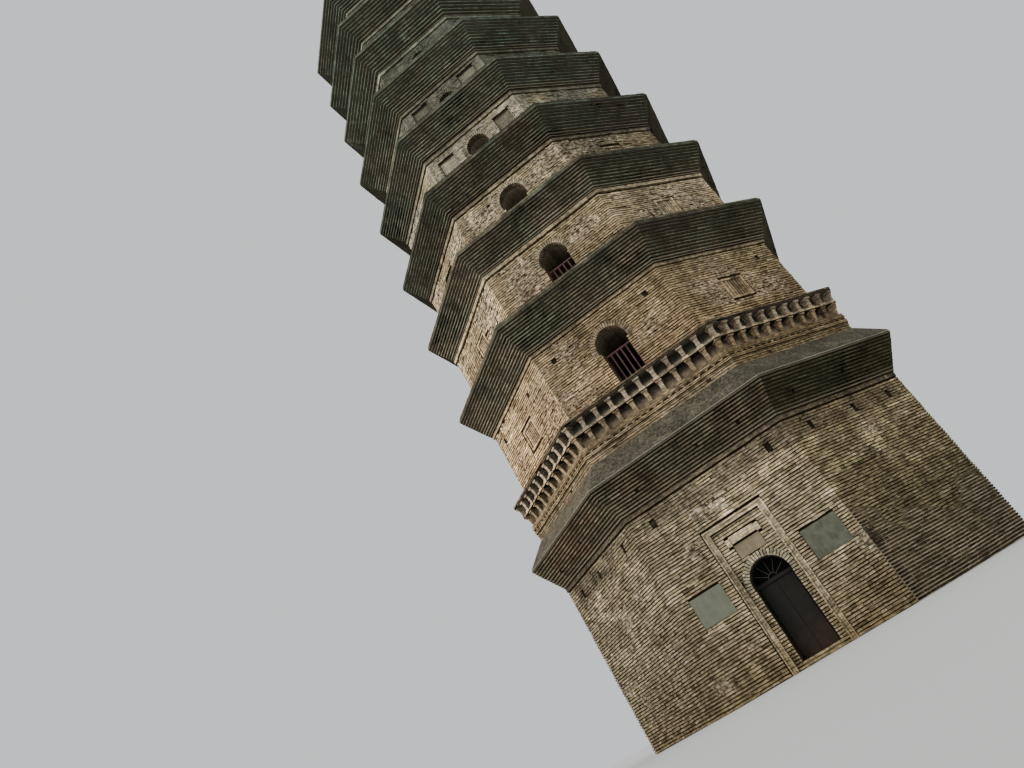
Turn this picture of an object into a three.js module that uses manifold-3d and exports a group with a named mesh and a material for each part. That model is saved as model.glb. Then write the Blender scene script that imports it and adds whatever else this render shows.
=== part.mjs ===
// An octagonal brick pagoda of nine storeys, in millimetres, +Z up.
// The ground door faces -Y, and the origin is on the centre line at ground level.
// Every plan radius is measured to a corner of the octagon unless it says face.
import * as THREE from 'three';
import { mergeVertices } from 'three/addons/utils/BufferGeometryUtils.js';
import Module from 'manifold-3d';

const wasm = await Module();
wasm.setup();

// Plan
const SIDES = 8;
const HALF_SIDE = Math.PI / SIDES;
const GROUND_RADIUS = 5635;
const BATTER = 0.0117; // how far a wall leans in for each millimetre of height
const CARDINALS = { front: 0, right: Math.PI / 2, back: Math.PI, left: 1.5 * Math.PI };

// Masonry
const COURSE = 76; // one corbelled course with its joint
const LIP_HALF = 40; // half the thickness of an eave's edge course
const TOP_COURSES = 3; // courses that step back above an eave's edge
const FIRST_STEP = 40; // how far the lowest of them steps back
const FLOOR_THICKNESS = 250;
const WALL_THICKNESS_GROUND = 2200;
const WALL_THICKNESS_LOSS = 130; // for each storey further up
const SEAT_GAP = 0.3; // between a piece and the slanted or curved face that it touches

// Storeys from the ground up: top and corner radius of the plain wall, then the
// middle height and corner radius of the eave's edge
const STOREYS = [
  { wallTop: 4690, wallRadius: 5580, lip: 5610, eaveRadius: 6215 },
  { wallTop: 9725, wallRadius: 5230, lip: 10815, eaveRadius: 5970 },
  { wallTop: 12785, wallRadius: 5110, lip: 13670, eaveRadius: 5730 },
  { wallTop: 15360, wallRadius: 4820, lip: 16250, eaveRadius: 5490 },
  { wallTop: 18000, wallRadius: 4520, lip: 18875, eaveRadius: 5225 },
  { wallTop: 20460, wallRadius: 4205, lip: 21315, eaveRadius: 4980 },
  { wallTop: 23000, wallRadius: 3910, lip: 23640, eaveRadius: 4670 },
  { wallTop: 24960, wallRadius: 3700, lip: 25645, eaveRadius: 4460 },
  { wallTop: 26960, wallRadius: 3470, lip: 27660, eaveRadius: 4215 },
];

// Arched openings of storeys 2 to 9, one on each of the four cardinal faces: the half
// width between the jambs, the shoulder where it widens, and the arch above
const ARCHES = {
  2: { jamb: 402, shoulder: 8680, half: 462, springing: 8803 },
  3: { jamb: 420, shoulder: 11897, half: 450, springing: 11987 },
  4: { jamb: 395, shoulder: 14441, half: 456, springing: 14633 },
  5: { jamb: 350, shoulder: 17100, half: 390, springing: 17230 },
  6: { jamb: 310, shoulder: 19590, half: 340, springing: 19710 },
  7: { jamb: 315, shoulder: 22130, half: 350, springing: 22240 },
  8: { jamb: 312, shoulder: 24125, half: 350, springing: 24240 },
  9: { jamb: 304, shoulder: 26140, half: 340, springing: 26250 },
};
const ARCH_STEPS = 8;

// Shallow recesses: false windows on the diagonal faces, and panels beside an arch
const FALSE_WINDOWS = {
  2: { width: 880, bottom: 8240, top: 8980 },
  3: { width: 790, bottom: 11460, top: 12200 },
  4: { width: 760, bottom: 14300, top: 14860 },
};
const FALSE_WINDOW_DEPTH = 90;
const SIDE_PANELS = {
  5: { centre: 1100, width: 610, bottom: 16960, top: 17615 },
  6: { centre: 970, width: 655, bottom: 19905, top: 20265 },
};
const SIDE_PANEL_DEPTH = 75;

// Balcony band between the first eave and the second storey
const SKIRT_TOP = 6270;
const BAND = {
  skirtRadius: 5568,
  plainRadius: 5545,
  ledgeRadius: 5595,
  ledgeBottom: 6498,
  ledgeTop: 6574,
  dentilRadius: 5560,
  dentilTop: 6650,
  capRadius: 5600,
};
const LOWER_TIER = {
  bottom: 6770,
  top: 7110,
  backRadius: 5440,
  footRadius: 5510,
  frontRadius: 5600,
  stemWidth: 105,
  cap: { bottom: 7065, width: 165, frontRadius: 5640 },
};
const UPPER_TIER = {
  bottom: 7180,
  top: 7460,
  backRadius: 5520,
  footRadius: 5675,
  frontRadius: 5715,
  stemWidth: 100,
  cap: { bottom: 7410, width: 170, frontRadius: 5760 },
};
const BEAM = { radius: 5665, edgeTop: 7160, topRadius: 5600, top: 7225 };
const BEAM_PLATE = { radius: 5695, width: 165, top: 7180 };
const DECK = { top: 7550, radius: 5795 };
const BAYS = 10; // bays between the corner blocks of one face
const BRACKET_SIDE = 2 * LOWER_TIER.frontRadius * Math.sin(HALF_SIDE); // the length they share

// Ground doorway
const DOOR = { half: 480, springing: 1885, sill: 137, revealDepth: 350 };
const PASSAGE_HALF = 620;
const OVER_DOOR_HALF = 780;
const FRONT_BLOCK_HALF = 1990;
const FRAME = { half: 440, depth: 90, transomBottom: 1817, transomTop: 1897 };
const LEAF = { thickness: 45, pivotInset: 22, pivotRadius: 14, meeting: 3, headGap: 6, footGap: 8 };
const FAN_BARS = 5;
const FAN_BAR = { width: 22, proud: 14, start: 90, end: 405, bedded: 4 };
const PLATE_THICKNESS = 20;

// Recessed surround of the doorway, in two steps, with a moulded band on the first step
const SURROUND = { half: 804, top: 3460, innerHalf: 636, innerTop: 3330, step: 45 };
const SURROUND_BAND = { inset: 14, rib: 34, ribProud: 50, bandProud: 24 };

// Stone pieces on the front wall
const TABLET = { half: 330, bottom: 2540, top: 2860, proud: 34 };
const LINTEL = { half: 340, bottom: 2900, top: 3078, proud: 95 };
const LINTEL_END = { half: 52, offset: 372, bottom: 2872, top: 3040, proud: 130 };
const PLAQUES = {
  plaque_left: { centre: -1440, half: 408, bottom: 1673, top: 2357 },
  plaque_right: { centre: 1470, half: 426, bottom: 1673, top: 2357 },
};
const PLAQUE_PROUD = 40;

// Railings in the arches of storeys 2 and 3
const RAILINGS = {
  2: { height: 1110, bars: 4 },
  3: { height: 725, bars: 4 },
};
const RAIL = { depth: 50, bar: 40, rail: 48, footGap: 40, setBack: 220 };

// Roof and finial
const ROOF = { radius: 3760, vaultTop: 29100, top: 30350, neckRadius: 640, courses: 32 };
const PEDESTAL = { radius: 760, rise: 150, neckTop: 30900 };
const FINIAL_PROFILE = [
  [0, 0], [430, 0], [430, 90], [300, 150], [250, 260], [470, 430], [500, 520], [260, 600],
  [170, 680], [330, 840], [370, 990], [300, 1140], [150, 1240], [210, 1340], [240, 1440],
  [190, 1550], [80, 1630], [50, 1800], [30, 2200], [0, 2300],
];
const FINIAL_SIDES = 12;

const BRICK = { color: 0x9c8a6e, roughness: 0.92, metalness: 0 };
const CORBEL = { color: 0x4a4a40, roughness: 0.9, metalness: 0 };
const CEMENT = { color: 0x7d7a6c, roughness: 0.95, metalness: 0 };
const STONE = { color: 0x8f8b7e, roughness: 0.8, metalness: 0 };
const DOOR_PAINT = { color: 0x35332f, roughness: 0.6, metalness: 0.2 };
const RED_PAINT = { color: 0x5a1f1a, roughness: 0.55, metalness: 0.1 };
const IRON = { color: 0x3b3a37, roughness: 0.6, metalness: 0.7 };

const pagoda = new THREE.Group();

const faceDistance = (radius) => radius * Math.cos(HALF_SIDE);
const cornerRadius = (distance) => distance / Math.cos(HALF_SIDE);

// Signed volume of an indexed triangle mesh; it is negative when the faces point in
function signedVolume(position, index) {
  const corner = (i) => new THREE.Vector3().fromArray(position, 3 * index[i]);
  let volume = 0;
  for (let i = 0; i < index.length; i += 3) {
    volume += corner(i).dot(corner(i + 1).cross(corner(i + 2))) / 6;
  }
  return volume;
}

// A closed geometry as a solid that can be joined and cut
function toSolid(geometry) {
  const bare = geometry.clone();
  bare.deleteAttribute('normal');
  bare.deleteAttribute('uv');
  const merged = mergeVertices(bare, 0.01);
  const index = [];
  for (let i = 0; i < merged.index.count; i += 3) {
    const [a, b, c] = [0, 1, 2].map((j) => merged.index.getX(i + j));
    if (a !== b && b !== c && c !== a) index.push(a, b, c);
  }
  const vertProperties = Float32Array.from(merged.attributes.position.array);
  if (signedVolume(vertProperties, index) < 0) index.reverse();
  return new wasm.Manifold(new wasm.Mesh({ numProp: 3, vertProperties, triVerts: Uint32Array.from(index) }));
}

function addNode(name, solid, finish) {
  const mesh = solid.getMesh();
  const geometry = new THREE.BufferGeometry();
  geometry.setAttribute('position', new THREE.BufferAttribute(mesh.vertProperties, 3));
  geometry.setIndex(new THREE.BufferAttribute(mesh.triVerts, 1));
  geometry.computeVertexNormals();
  const node = new THREE.Mesh(geometry, new THREE.MeshStandardMaterial(finish));
  node.name = name;
  pagoda.add(node);
}

// A profile of [corner radius, height] points swept round the octagon
function octagonal(profile, onAxis = false) {
  const points = profile.map(([radius, height]) => new THREE.Vector2(radius, height));
  if (!onAxis) points.push(points[0].clone());
  return toSolid(new THREE.LatheGeometry(points, SIDES, HALF_SIDE).rotateX(Math.PI / 2));
}

function box(x0, x1, y0, y1, z0, z1, turn = 0) {
  const geometry = new THREE.BoxGeometry(x1 - x0, y1 - y0, z1 - z0);
  geometry.translate((x0 + x1) / 2, (y0 + y1) / 2, (z0 + z1) / 2);
  return toSolid(geometry.rotateZ(turn));
}

// A shape drawn in X and Z, given its depth along Y
function plate(shape, front, back, turn = 0) {
  const geometry = new THREE.ExtrudeGeometry(shape, {
    depth: back - front,
    bevelEnabled: false,
    curveSegments: ARCH_STEPS,
  });
  return toSolid(geometry.rotateX(Math.PI / 2).translate(0, back, 0).rotateZ(turn));
}

// An arch with straight jambs, which may stand closer than the arch above their shoulder
function archShape(half, bottom, springing, jamb = half, shoulder = springing) {
  const shape = new THREE.Shape();
  shape.moveTo(-jamb, bottom);
  shape.lineTo(jamb, bottom);
  if (jamb < half) {
    shape.lineTo(jamb, shoulder);
    shape.lineTo(half, shoulder);
  }
  shape.lineTo(half, springing);
  shape.absarc(0, springing, half, 0, Math.PI, false);
  if (jamb < half) {
    shape.lineTo(-half, shoulder);
    shape.lineTo(-jamb, shoulder);
  }
  shape.closePath();
  return shape;
}

// Where a storey's wall starts, its thickness and its inner radius
const storey = (number) => STOREYS[number - 1];
const eaveTop = (number) => storey(number).lip + LIP_HALF + TOP_COURSES * COURSE;
function wallBase(number) {
  if (number === 1) return 0;
  return number === 2 ? DECK.top : eaveTop(number - 1);
}
function baseRadius(number) {
  const { wallTop, wallRadius } = storey(number);
  return wallRadius + BATTER * (wallTop - wallBase(number));
}
function innerRadius(number) {
  const thickness = WALL_THICKNESS_GROUND - WALL_THICKNESS_LOSS * (number - 1);
  return baseRadius(number) - cornerRadius(thickness);
}
// Distance of a storey's outer wall face from the centre line at a height
function wallFace(number, height) {
  return faceDistance(baseRadius(number) - BATTER * (height - wallBase(number)));
}

// The solid octagonal core of the ground storey, its faces moved in by a depth
function groundCore(depth) {
  const inset = cornerRadius(depth);
  const { wallTop, wallRadius } = storey(1);
  return octagonal([
    [0, -1],
    [GROUND_RADIUS - inset, -1],
    [wallRadius - inset, wallTop + 1],
    [0, wallTop + 1],
  ], true);
}

function groundWall() {
  const { wallTop, wallRadius } = storey(1);
  const inner = innerRadius(1);
  const far = -GROUND_RADIUS - 100;
  const revealBack = -faceDistance(GROUND_RADIUS) + DOOR.revealDepth;
  const step1 = box(-SURROUND.half, SURROUND.half, far, 0, -2, SURROUND.top);
  const step2 = box(-SURROUND.innerHalf, SURROUND.innerHalf, far, 0, -2, SURROUND.innerTop);
  const cuts = [
    step1.subtract(groundCore(SURROUND.step)),
    step2.subtract(groundCore(2 * SURROUND.step)),
    plate(archShape(DOOR.half, -2, DOOR.springing), far, revealBack + 1),
    plate(archShape(PASSAGE_HALF, -2, DOOR.springing), revealBack, 0),
  ];
  const ring = octagonal([[inner, 0], [GROUND_RADIUS, 0], [wallRadius, wallTop], [inner, wallTop]]);
  const wall = cuts.reduce((solid, cut) => solid.subtract(cut), ring);

  const frontBlock = box(-FRONT_BLOCK_HALF, FRONT_BLOCK_HALF, far, 0, -2, wallTop + 2);
  const front = wall.intersect(frontBlock);
  const overDoor = box(-OVER_DOOR_HALF, OVER_DOOR_HALF, far, 0, DOOR.springing, wallTop + 2);
  const beside = front.subtract(overDoor);
  const leftHalf = box(far, 0, far, -far, -2, wallTop + 2);
  addNode('ground_wall_over_door', front.intersect(overDoor), BRICK);
  addNode('ground_wall_front_left', beside.intersect(leftHalf), BRICK);
  addNode('ground_wall_front_right', beside.subtract(leftHalf), BRICK);
  const rest = wall.subtract(frontBlock);
  addNode('ground_wall_left', rest.intersect(leftHalf), BRICK);
  addNode('ground_wall_right', rest.subtract(leftHalf), BRICK);
}

function groundFloor() {
  const edge = innerRadius(1) - cornerRadius(SEAT_GAP);
  addNode('ground_floor', octagonal([[0, 0], [edge, 0], [edge, DOOR.sill], [0, DOOR.sill]], true), STONE);
  const revealBack = -faceDistance(GROUND_RADIUS) + DOOR.revealDepth;
  const inside = -faceDistance(innerRadius(1)) - 1;
  const narrow = DOOR.half - SEAT_GAP;
  const wide = PASSAGE_HALF - SEAT_GAP;
  const outer = -faceDistance(GROUND_RADIUS) + 2 * SURROUND.step + 5;
  const slab = box(-narrow, narrow, outer, inside, 0, DOOR.sill);
  addNode('door_threshold', slab.add(box(-wide, wide, revealBack + SEAT_GAP, inside, 0, DOOR.sill)), STONE);
}

// Moulded band round the doorway, with a rib along each edge
function doorSurround() {
  const arc = (half, top) => box(-half, half, -GROUND_RADIUS, 0, 0, top);
  const { inset, rib, ribProud, bandProud } = SURROUND_BAND;
  const hoop = (outerInset, width) => {
    const half = SURROUND.half - outerInset;
    const top = SURROUND.top - outerInset;
    return arc(half, top).subtract(box(-half + width, half - width, -GROUND_RADIUS, 0, -1, top - width));
  };
  const width = SURROUND.half - SURROUND.innerHalf - inset;
  const behind = groundCore(SURROUND.step - SEAT_GAP);
  const layer = (proud) => groundCore(SURROUND.step - proud).subtract(behind);
  const band = hoop(inset, width).intersect(layer(bandProud));
  const outerRib = hoop(inset, rib).intersect(layer(ribProud));
  const innerRib = hoop(inset + width - rib, rib).intersect(layer(ribProud));
  addNode('door_surround', band.add(outerRib).add(innerRib), BRICK);
}

// A flat piece standing proud of the ground wall, whose face is set in by a depth
function facingPiece(x0, x1, z0, z1, proud, depth) {
  const block = box(x0, x1, -GROUND_RADIUS, 0, z0, z1);
  return block.intersect(groundCore(depth - proud)).subtract(groundCore(depth - SEAT_GAP));
}

function frontStones() {
  const recess = 2 * SURROUND.step;
  const { half, bottom, top, proud } = TABLET;
  addNode('name_tablet', facingPiece(-half, half, bottom, top, proud, recess), STONE);
  let lintel = facingPiece(-LINTEL.half, LINTEL.half, LINTEL.bottom, LINTEL.top, LINTEL.proud, recess);
  for (const side of [-1, 1]) {
    const middle = side * LINTEL_END.offset;
    const x = [middle - LINTEL_END.half, middle + LINTEL_END.half];
    lintel = lintel.add(facingPiece(...x, LINTEL_END.bottom, LINTEL_END.top, LINTEL_END.proud, recess));
  }
  addNode('lintel_relief', lintel, BRICK);
  for (const [name, plaque] of Object.entries(PLAQUES)) {
    const x = [plaque.centre - plaque.half, plaque.centre + plaque.half];
    addNode(name, facingPiece(...x, plaque.bottom, plaque.top, PLAQUE_PROUD, 0), STONE);
  }
}

function doorFrameAndLeaves() {
  const front = -faceDistance(GROUND_RADIUS) + DOOR.revealDepth + SEAT_GAP;
  const back = front + FRAME.depth;
  const shape = archShape(PASSAGE_HALF - SEAT_GAP, DOOR.sill, DOOR.springing);
  const light = archShape(FRAME.half, DOOR.springing, DOOR.springing);
  const opening = box(-FRAME.half, FRAME.half, front - 1, back + 1, DOOR.sill - 1, FRAME.transomBottom);
  const belowLight = box(-PASSAGE_HALF, PASSAGE_HALF, front - 2, back + 2, 0, FRAME.transomTop);
  const lightHole = plate(light, front - 1, back + 1).subtract(belowLight);
  addNode('door_frame', plate(shape, front, back).subtract(opening).subtract(lightHole), DOOR_PAINT);

  // Fanlight: a plate with bars that spread from the middle of the transom
  const plateFront = front + FRAME.depth / 2;
  const glass = archShape(FRAME.half - SEAT_GAP, DOOR.springing, DOOR.springing);
  const trim = box(-PASSAGE_HALF, PASSAGE_HALF, front - 2, back + 2, 0, FRAME.transomTop + SEAT_GAP);
  let fan = plate(glass, plateFront, plateFront + PLATE_THICKNESS);
  for (let i = 1; i <= FAN_BARS; i += 1) {
    const turn = (i * Math.PI) / (FAN_BARS + 1) - Math.PI / 2;
    const { width, proud, start, end, bedded } = FAN_BAR;
    const bar = new THREE.BoxGeometry(width, proud + bedded, end - start);
    bar.translate(0, plateFront + (bedded - proud) / 2, (start + end) / 2);
    fan = fan.add(toSolid(bar.rotateY(turn).translate(0, 0, DOOR.springing)));
  }
  addNode('door_fanlight', fan.subtract(trim), DOOR_PAINT);

  // Two leaves on pivots, their backs level with the back of the frame
  const pivotX = FRAME.half - LEAF.pivotInset;
  const pivotY = back - LEAF.pivotRadius;
  const foot = DOOR.sill + LEAF.footGap;
  const head = FRAME.transomBottom - LEAF.headGap;
  for (const [name, side] of [['door_leaf_left', -1], ['door_leaf_right', 1]]) {
    const ends = [side * LEAF.meeting, side * pivotX].sort((a, b) => a - b);
    const panel = box(...ends, back - LEAF.thickness, back, foot, head);
    const pivotFoot = DOOR.sill + SEAT_GAP;
    const pivotHead = FRAME.transomBottom - SEAT_GAP;
    const pivot = new THREE.CylinderGeometry(LEAF.pivotRadius, LEAF.pivotRadius, pivotHead - pivotFoot, 12);
    pivot.rotateX(Math.PI / 2).translate(side * pivotX, pivotY, (pivotFoot + pivotHead) / 2);
    addNode(name, panel.add(toSolid(pivot)), DOOR_PAINT);
  }
}

// Corbelled courses from the wall out to the edge, as [radius, height] points
function corbels(number) {
  const { wallTop, wallRadius, lip, eaveRadius } = storey(number);
  const rise = lip - LIP_HALF - wallTop;
  const count = Math.round(rise / COURSE);
  const points = [];
  for (let i = 0; i < count; i += 1) {
    const radius = wallRadius + ((eaveRadius - wallRadius) * (i + 0.5)) / (count + 0.5);
    points.push([radius, wallTop + (rise * i) / count]);
    points.push([radius, wallTop + (rise * (i + 1)) / count]);
  }
  return [...points, [eaveRadius, lip - LIP_HALF], [eaveRadius, lip + LIP_HALF]];
}

// Courses that step back above the edge to the foot of what stands on it
function stepsBack(number, footRadius) {
  const { lip, eaveRadius } = storey(number);
  const first = eaveRadius - FIRST_STEP;
  const points = [];
  for (let i = 0; i < TOP_COURSES; i += 1) {
    const radius = first + ((footRadius - first) * i) / TOP_COURSES;
    points.push([radius, lip + LIP_HALF + COURSE * i]);
    points.push([radius, lip + LIP_HALF + COURSE * (i + 1)]);
  }
  return points;
}

function firstEave() {
  const inner = innerRadius(1);
  const { wallTop, lip, eaveRadius } = storey(1);
  const edgeTop = lip + LIP_HALF;
  const core = BAND.skirtRadius;
  const masonry = octagonal([
    [inner, wallTop],
    ...corbels(1),
    [core, edgeTop],
    [core, SKIRT_TOP],
    [BAND.plainRadius, SKIRT_TOP],
    [BAND.plainRadius, BAND.ledgeBottom],
    [BAND.ledgeRadius, BAND.ledgeBottom],
    [BAND.ledgeRadius, BAND.ledgeTop],
    [BAND.dentilRadius, BAND.ledgeTop],
    [BAND.dentilRadius, BAND.dentilTop],
    [BAND.capRadius, BAND.dentilTop],
    [BAND.capRadius, LOWER_TIER.bottom],
    [inner, LOWER_TIER.bottom],
  ]);
  addNode('eave_1', masonry, CORBEL);
  const skirtInner = core + cornerRadius(SEAT_GAP);
  const edge = eaveRadius - cornerRadius(10);
  const skirt = octagonal([
    [skirtInner, edgeTop],
    [edge, edgeTop],
    [edge, edgeTop + 25],
    [skirtInner + 15, SKIRT_TOP],
    [skirtInner, SKIRT_TOP],
  ]);
  addNode('eave_1_skirt', skirt, CEMENT);
}

// A block on a face of the tower, whose front may lean out from a foot set further back
function leaningBlock(x, width, back, foot, front, bottom, top, turn) {
  const outline = [[back, bottom], [foot, bottom], [front, top], [back, top]];
  const shape = new THREE.Shape(outline.map(([distance, height]) => new THREE.Vector2(distance, height)));
  const geometry = new THREE.ExtrudeGeometry(shape, { depth: width, bevelEnabled: false });
  geometry.translate(0, 0, -x - width / 2).rotateX(Math.PI / 2);
  return toSolid(geometry.rotateZ(turn - Math.PI / 2));
}

// A row of equal blocks added along each face of a ring and on each of its corners
function blocks(ring, width, backRadius, footRadius, frontRadius, bottom, top) {
  const bedded = 30; // how far the blocks reach into the ring
  const cornerInset = 10;
  const distances = [faceDistance(backRadius) - bedded, faceDistance(footRadius), faceDistance(frontRadius)];
  const corner = [backRadius - bedded, footRadius - cornerInset, frontRadius - cornerInset];
  let solid = ring;
  for (let face = 0; face < SIDES; face += 1) {
    const turn = 2 * HALF_SIDE * face;
    for (let bay = 1; bay < BAYS; bay += 1) {
      const x = BRACKET_SIDE * (bay / BAYS - 0.5);
      solid = solid.add(leaningBlock(x, width, ...distances, bottom, top, turn));
    }
    solid = solid.add(leaningBlock(0, width, ...corner, bottom, top, turn + HALF_SIDE));
  }
  return solid;
}

// A ring with brackets, each a narrow stem that leans out under a wider cap
function bracketTier(tier, ring) {
  const { stemWidth, cap, backRadius, footRadius, frontRadius, bottom, top } = tier;
  const stems = blocks(ring, stemWidth, backRadius, footRadius, frontRadius, bottom, top);
  return blocks(stems, cap.width, backRadius, cap.frontRadius, cap.frontRadius, cap.bottom, top);
}

function balcony() {
  const inner = innerRadius(1);
  const lower = octagonal([
    [inner, LOWER_TIER.bottom],
    [LOWER_TIER.backRadius, LOWER_TIER.bottom],
    [LOWER_TIER.backRadius, LOWER_TIER.top],
    [inner, LOWER_TIER.top],
  ]);
  addNode('balcony_brackets_lower', bracketTier(LOWER_TIER, lower), BRICK);
  const upper = octagonal([
    [inner, LOWER_TIER.top],
    [BEAM.radius, LOWER_TIER.top],
    [BEAM.radius, BEAM.edgeTop],
    [BEAM.topRadius, BEAM.edgeTop],
    [BEAM.topRadius, BEAM.top],
    [UPPER_TIER.backRadius, BEAM.top],
    [UPPER_TIER.backRadius, UPPER_TIER.top],
    [inner, UPPER_TIER.top],
  ]);
  const { width, radius, top } = BEAM_PLATE;
  const beam = blocks(upper, width, UPPER_TIER.backRadius, radius, radius, LOWER_TIER.top, top);
  addNode('balcony_brackets_upper', bracketTier(UPPER_TIER, beam), BRICK);
  const plug = inner - cornerRadius(SEAT_GAP);
  const floorBottom = DECK.top - FLOOR_THICKNESS;
  const deck = octagonal([
    [0, floorBottom],
    [plug, floorBottom],
    [plug, UPPER_TIER.top],
    [DECK.radius, UPPER_TIER.top],
    [DECK.radius, DECK.top],
    [0, DECK.top],
  ], true);
  addNode('balcony_deck', deck, STONE);
}

function recess(number, turn, middle, width, bottom, top, depth) {
  const face = wallFace(number, (bottom + top) / 2);
  return box(middle - width / 2, middle + width / 2, -face - 200, -face + depth, bottom, top, turn);
}

function upperWall(number) {
  const { wallTop, wallRadius } = storey(number);
  const base = wallBase(number);
  const inner = innerRadius(number);
  let wall = octagonal([[inner, base], [baseRadius(number), base], [wallRadius, wallTop], [inner, wallTop]]);
  const { jamb, shoulder, half, springing } = ARCHES[number];
  const shape = archShape(half, base - 2, springing, jamb, shoulder);
  const falseWindow = FALSE_WINDOWS[number];
  const panel = SIDE_PANELS[number];
  for (const turn of Object.values(CARDINALS)) {
    wall = wall.subtract(plate(shape, -GROUND_RADIUS, -100, turn));
    if (falseWindow) {
      const { width, bottom, top } = falseWindow;
      const diagonal = turn + 2 * HALF_SIDE;
      wall = wall.subtract(recess(number, diagonal, 0, width, bottom, top, FALSE_WINDOW_DEPTH));
    }
    if (panel) {
      const { centre, width, bottom, top } = panel;
      wall = wall.subtract(recess(number, turn, -centre, width, bottom, top, SIDE_PANEL_DEPTH));
      wall = wall.subtract(recess(number, turn, centre, width, bottom, top, SIDE_PANEL_DEPTH));
    }
  }
  addNode(`wall_${number}`, wall, BRICK);
}

// A corbelled eave that also closes the room below it with a floor
function upperEave(number) {
  const { wallTop } = storey(number);
  const inner = innerRadius(number);
  const top = eaveTop(number);
  const isLast = number === STOREYS.length;
  const foot = isLast ? ROOF.radius : baseRadius(number + 1);
  const outside = [...corbels(number), ...stepsBack(number, foot)];
  if (isLast) {
    addNode(`eave_${number}`, octagonal([[inner, wallTop], ...outside, [inner, top]]), CORBEL);
    return;
  }
  const floorBottom = top - FLOOR_THICKNESS;
  const profile = [[0, floorBottom], [inner, floorBottom], [inner, wallTop], ...outside, [0, top]];
  addNode(`eave_${number}`, octagonal(profile, true), CORBEL);
}

// Posts and rails of one guard, as a single pierced panel
function railing(number, side, turn) {
  const { height, bars } = RAILINGS[number];
  const half = ARCHES[number].jamb - SEAT_GAP;
  const bottom = wallBase(number) + RAIL.footGap;
  const top = wallBase(number) + height;
  const front = -wallFace(number, bottom) + RAIL.setBack;
  const back = front + RAIL.depth;
  let panel = box(-half, half, front, back, bottom, top, turn);
  const gaps = bars + 1;
  const gap = (2 * half - (gaps + 1) * RAIL.bar) / gaps;
  for (let i = 0; i < gaps; i += 1) {
    const left = -half + RAIL.bar + i * (gap + RAIL.bar);
    const hole = [left, left + gap, front - 1, back + 1, bottom + RAIL.rail, top - RAIL.rail];
    panel = panel.subtract(box(...hole, turn));
  }
  addNode(`railing_${number}_${side}`, panel, RED_PAINT);
}

// Courses of the roof that step in from its foot to the finial's pedestal
function roofCourses(base) {
  const points = [];
  for (let i = 0; i < ROOF.courses; i += 1) {
    const radius = ROOF.radius + ((ROOF.neckRadius - ROOF.radius) * i) / ROOF.courses;
    points.push([radius, base + ((ROOF.top - base) * i) / ROOF.courses]);
    points.push([radius, base + ((ROOF.top - base) * (i + 1)) / ROOF.courses]);
  }
  return points;
}

function roofAndFinial() {
  const base = eaveTop(STOREYS.length);
  const inner = innerRadius(STOREYS.length);
  const pedestalTop = ROOF.top + PEDESTAL.rise;
  const roof = octagonal([
    [0, ROOF.vaultTop],
    [inner, base],
    ...roofCourses(base),
    [PEDESTAL.radius, ROOF.top],
    [PEDESTAL.radius, pedestalTop],
    [ROOF.neckRadius, pedestalTop],
    [ROOF.neckRadius, PEDESTAL.neckTop],
    [0, PEDESTAL.neckTop],
  ], true);
  addNode('roof', roof, CORBEL);
  const points = FINIAL_PROFILE.map(([radius, height]) => new THREE.Vector2(radius, height));
  const spire = new THREE.LatheGeometry(points, FINIAL_SIDES).rotateX(Math.PI / 2);
  addNode('finial', toSolid(spire.translate(0, 0, PEDESTAL.neckTop)), IRON);
}

groundWall();
groundFloor();
doorSurround();
frontStones();
doorFrameAndLeaves();
firstEave();
balcony();
for (let number = 2; number <= STOREYS.length; number += 1) {
  upperWall(number);
  upperEave(number);
}
for (const number of Object.keys(RAILINGS).map(Number)) {
  for (const [side, turn] of Object.entries(CARDINALS)) railing(number, side, turn);
}
roofAndFinial();

export default pagoda;
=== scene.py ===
"""Looks of the octagonal brick pagoda: bricks, brackets, lattices, materials, light and camera.

The CAD nodes stay as the core behind the joints, and each skin of bricks stands a little proud of them.
Lengths are in millimetres until a mesh is made, and in metres in the materials. On a face, x runs to the
right of someone who looks at it, d is the distance out from the centre line and z is the height. Face 0 is
the front, and the faces follow each other counterclockwise seen from above.
"""
import math

import bpy
import numpy as np
from mathutils import Matrix, Vector


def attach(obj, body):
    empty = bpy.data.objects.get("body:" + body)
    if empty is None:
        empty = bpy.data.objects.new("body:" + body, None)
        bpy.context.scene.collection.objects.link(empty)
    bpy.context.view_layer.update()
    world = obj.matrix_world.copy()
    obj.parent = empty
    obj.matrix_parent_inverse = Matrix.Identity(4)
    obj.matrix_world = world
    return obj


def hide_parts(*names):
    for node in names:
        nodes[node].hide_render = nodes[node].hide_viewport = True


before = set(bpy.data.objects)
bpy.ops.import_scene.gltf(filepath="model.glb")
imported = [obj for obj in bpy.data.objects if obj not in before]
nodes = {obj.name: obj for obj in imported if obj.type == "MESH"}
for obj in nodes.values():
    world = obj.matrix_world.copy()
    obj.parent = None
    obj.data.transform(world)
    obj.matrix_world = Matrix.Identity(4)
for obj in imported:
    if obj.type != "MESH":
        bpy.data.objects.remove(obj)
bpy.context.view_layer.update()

MM = 0.001
SIDES = 8
HALF_SIDE = math.pi / SIDES
COS, TAN = math.cos(HALF_SIDE), math.tan(HALF_SIDE)
FRONT, CARDINALS, DIAGONALS, FACES = 0, (0, 2, 4, 6), (1, 3, 5, 7), range(SIDES)
LEFT_AND_RIGHT = (-1, 1)

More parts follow.
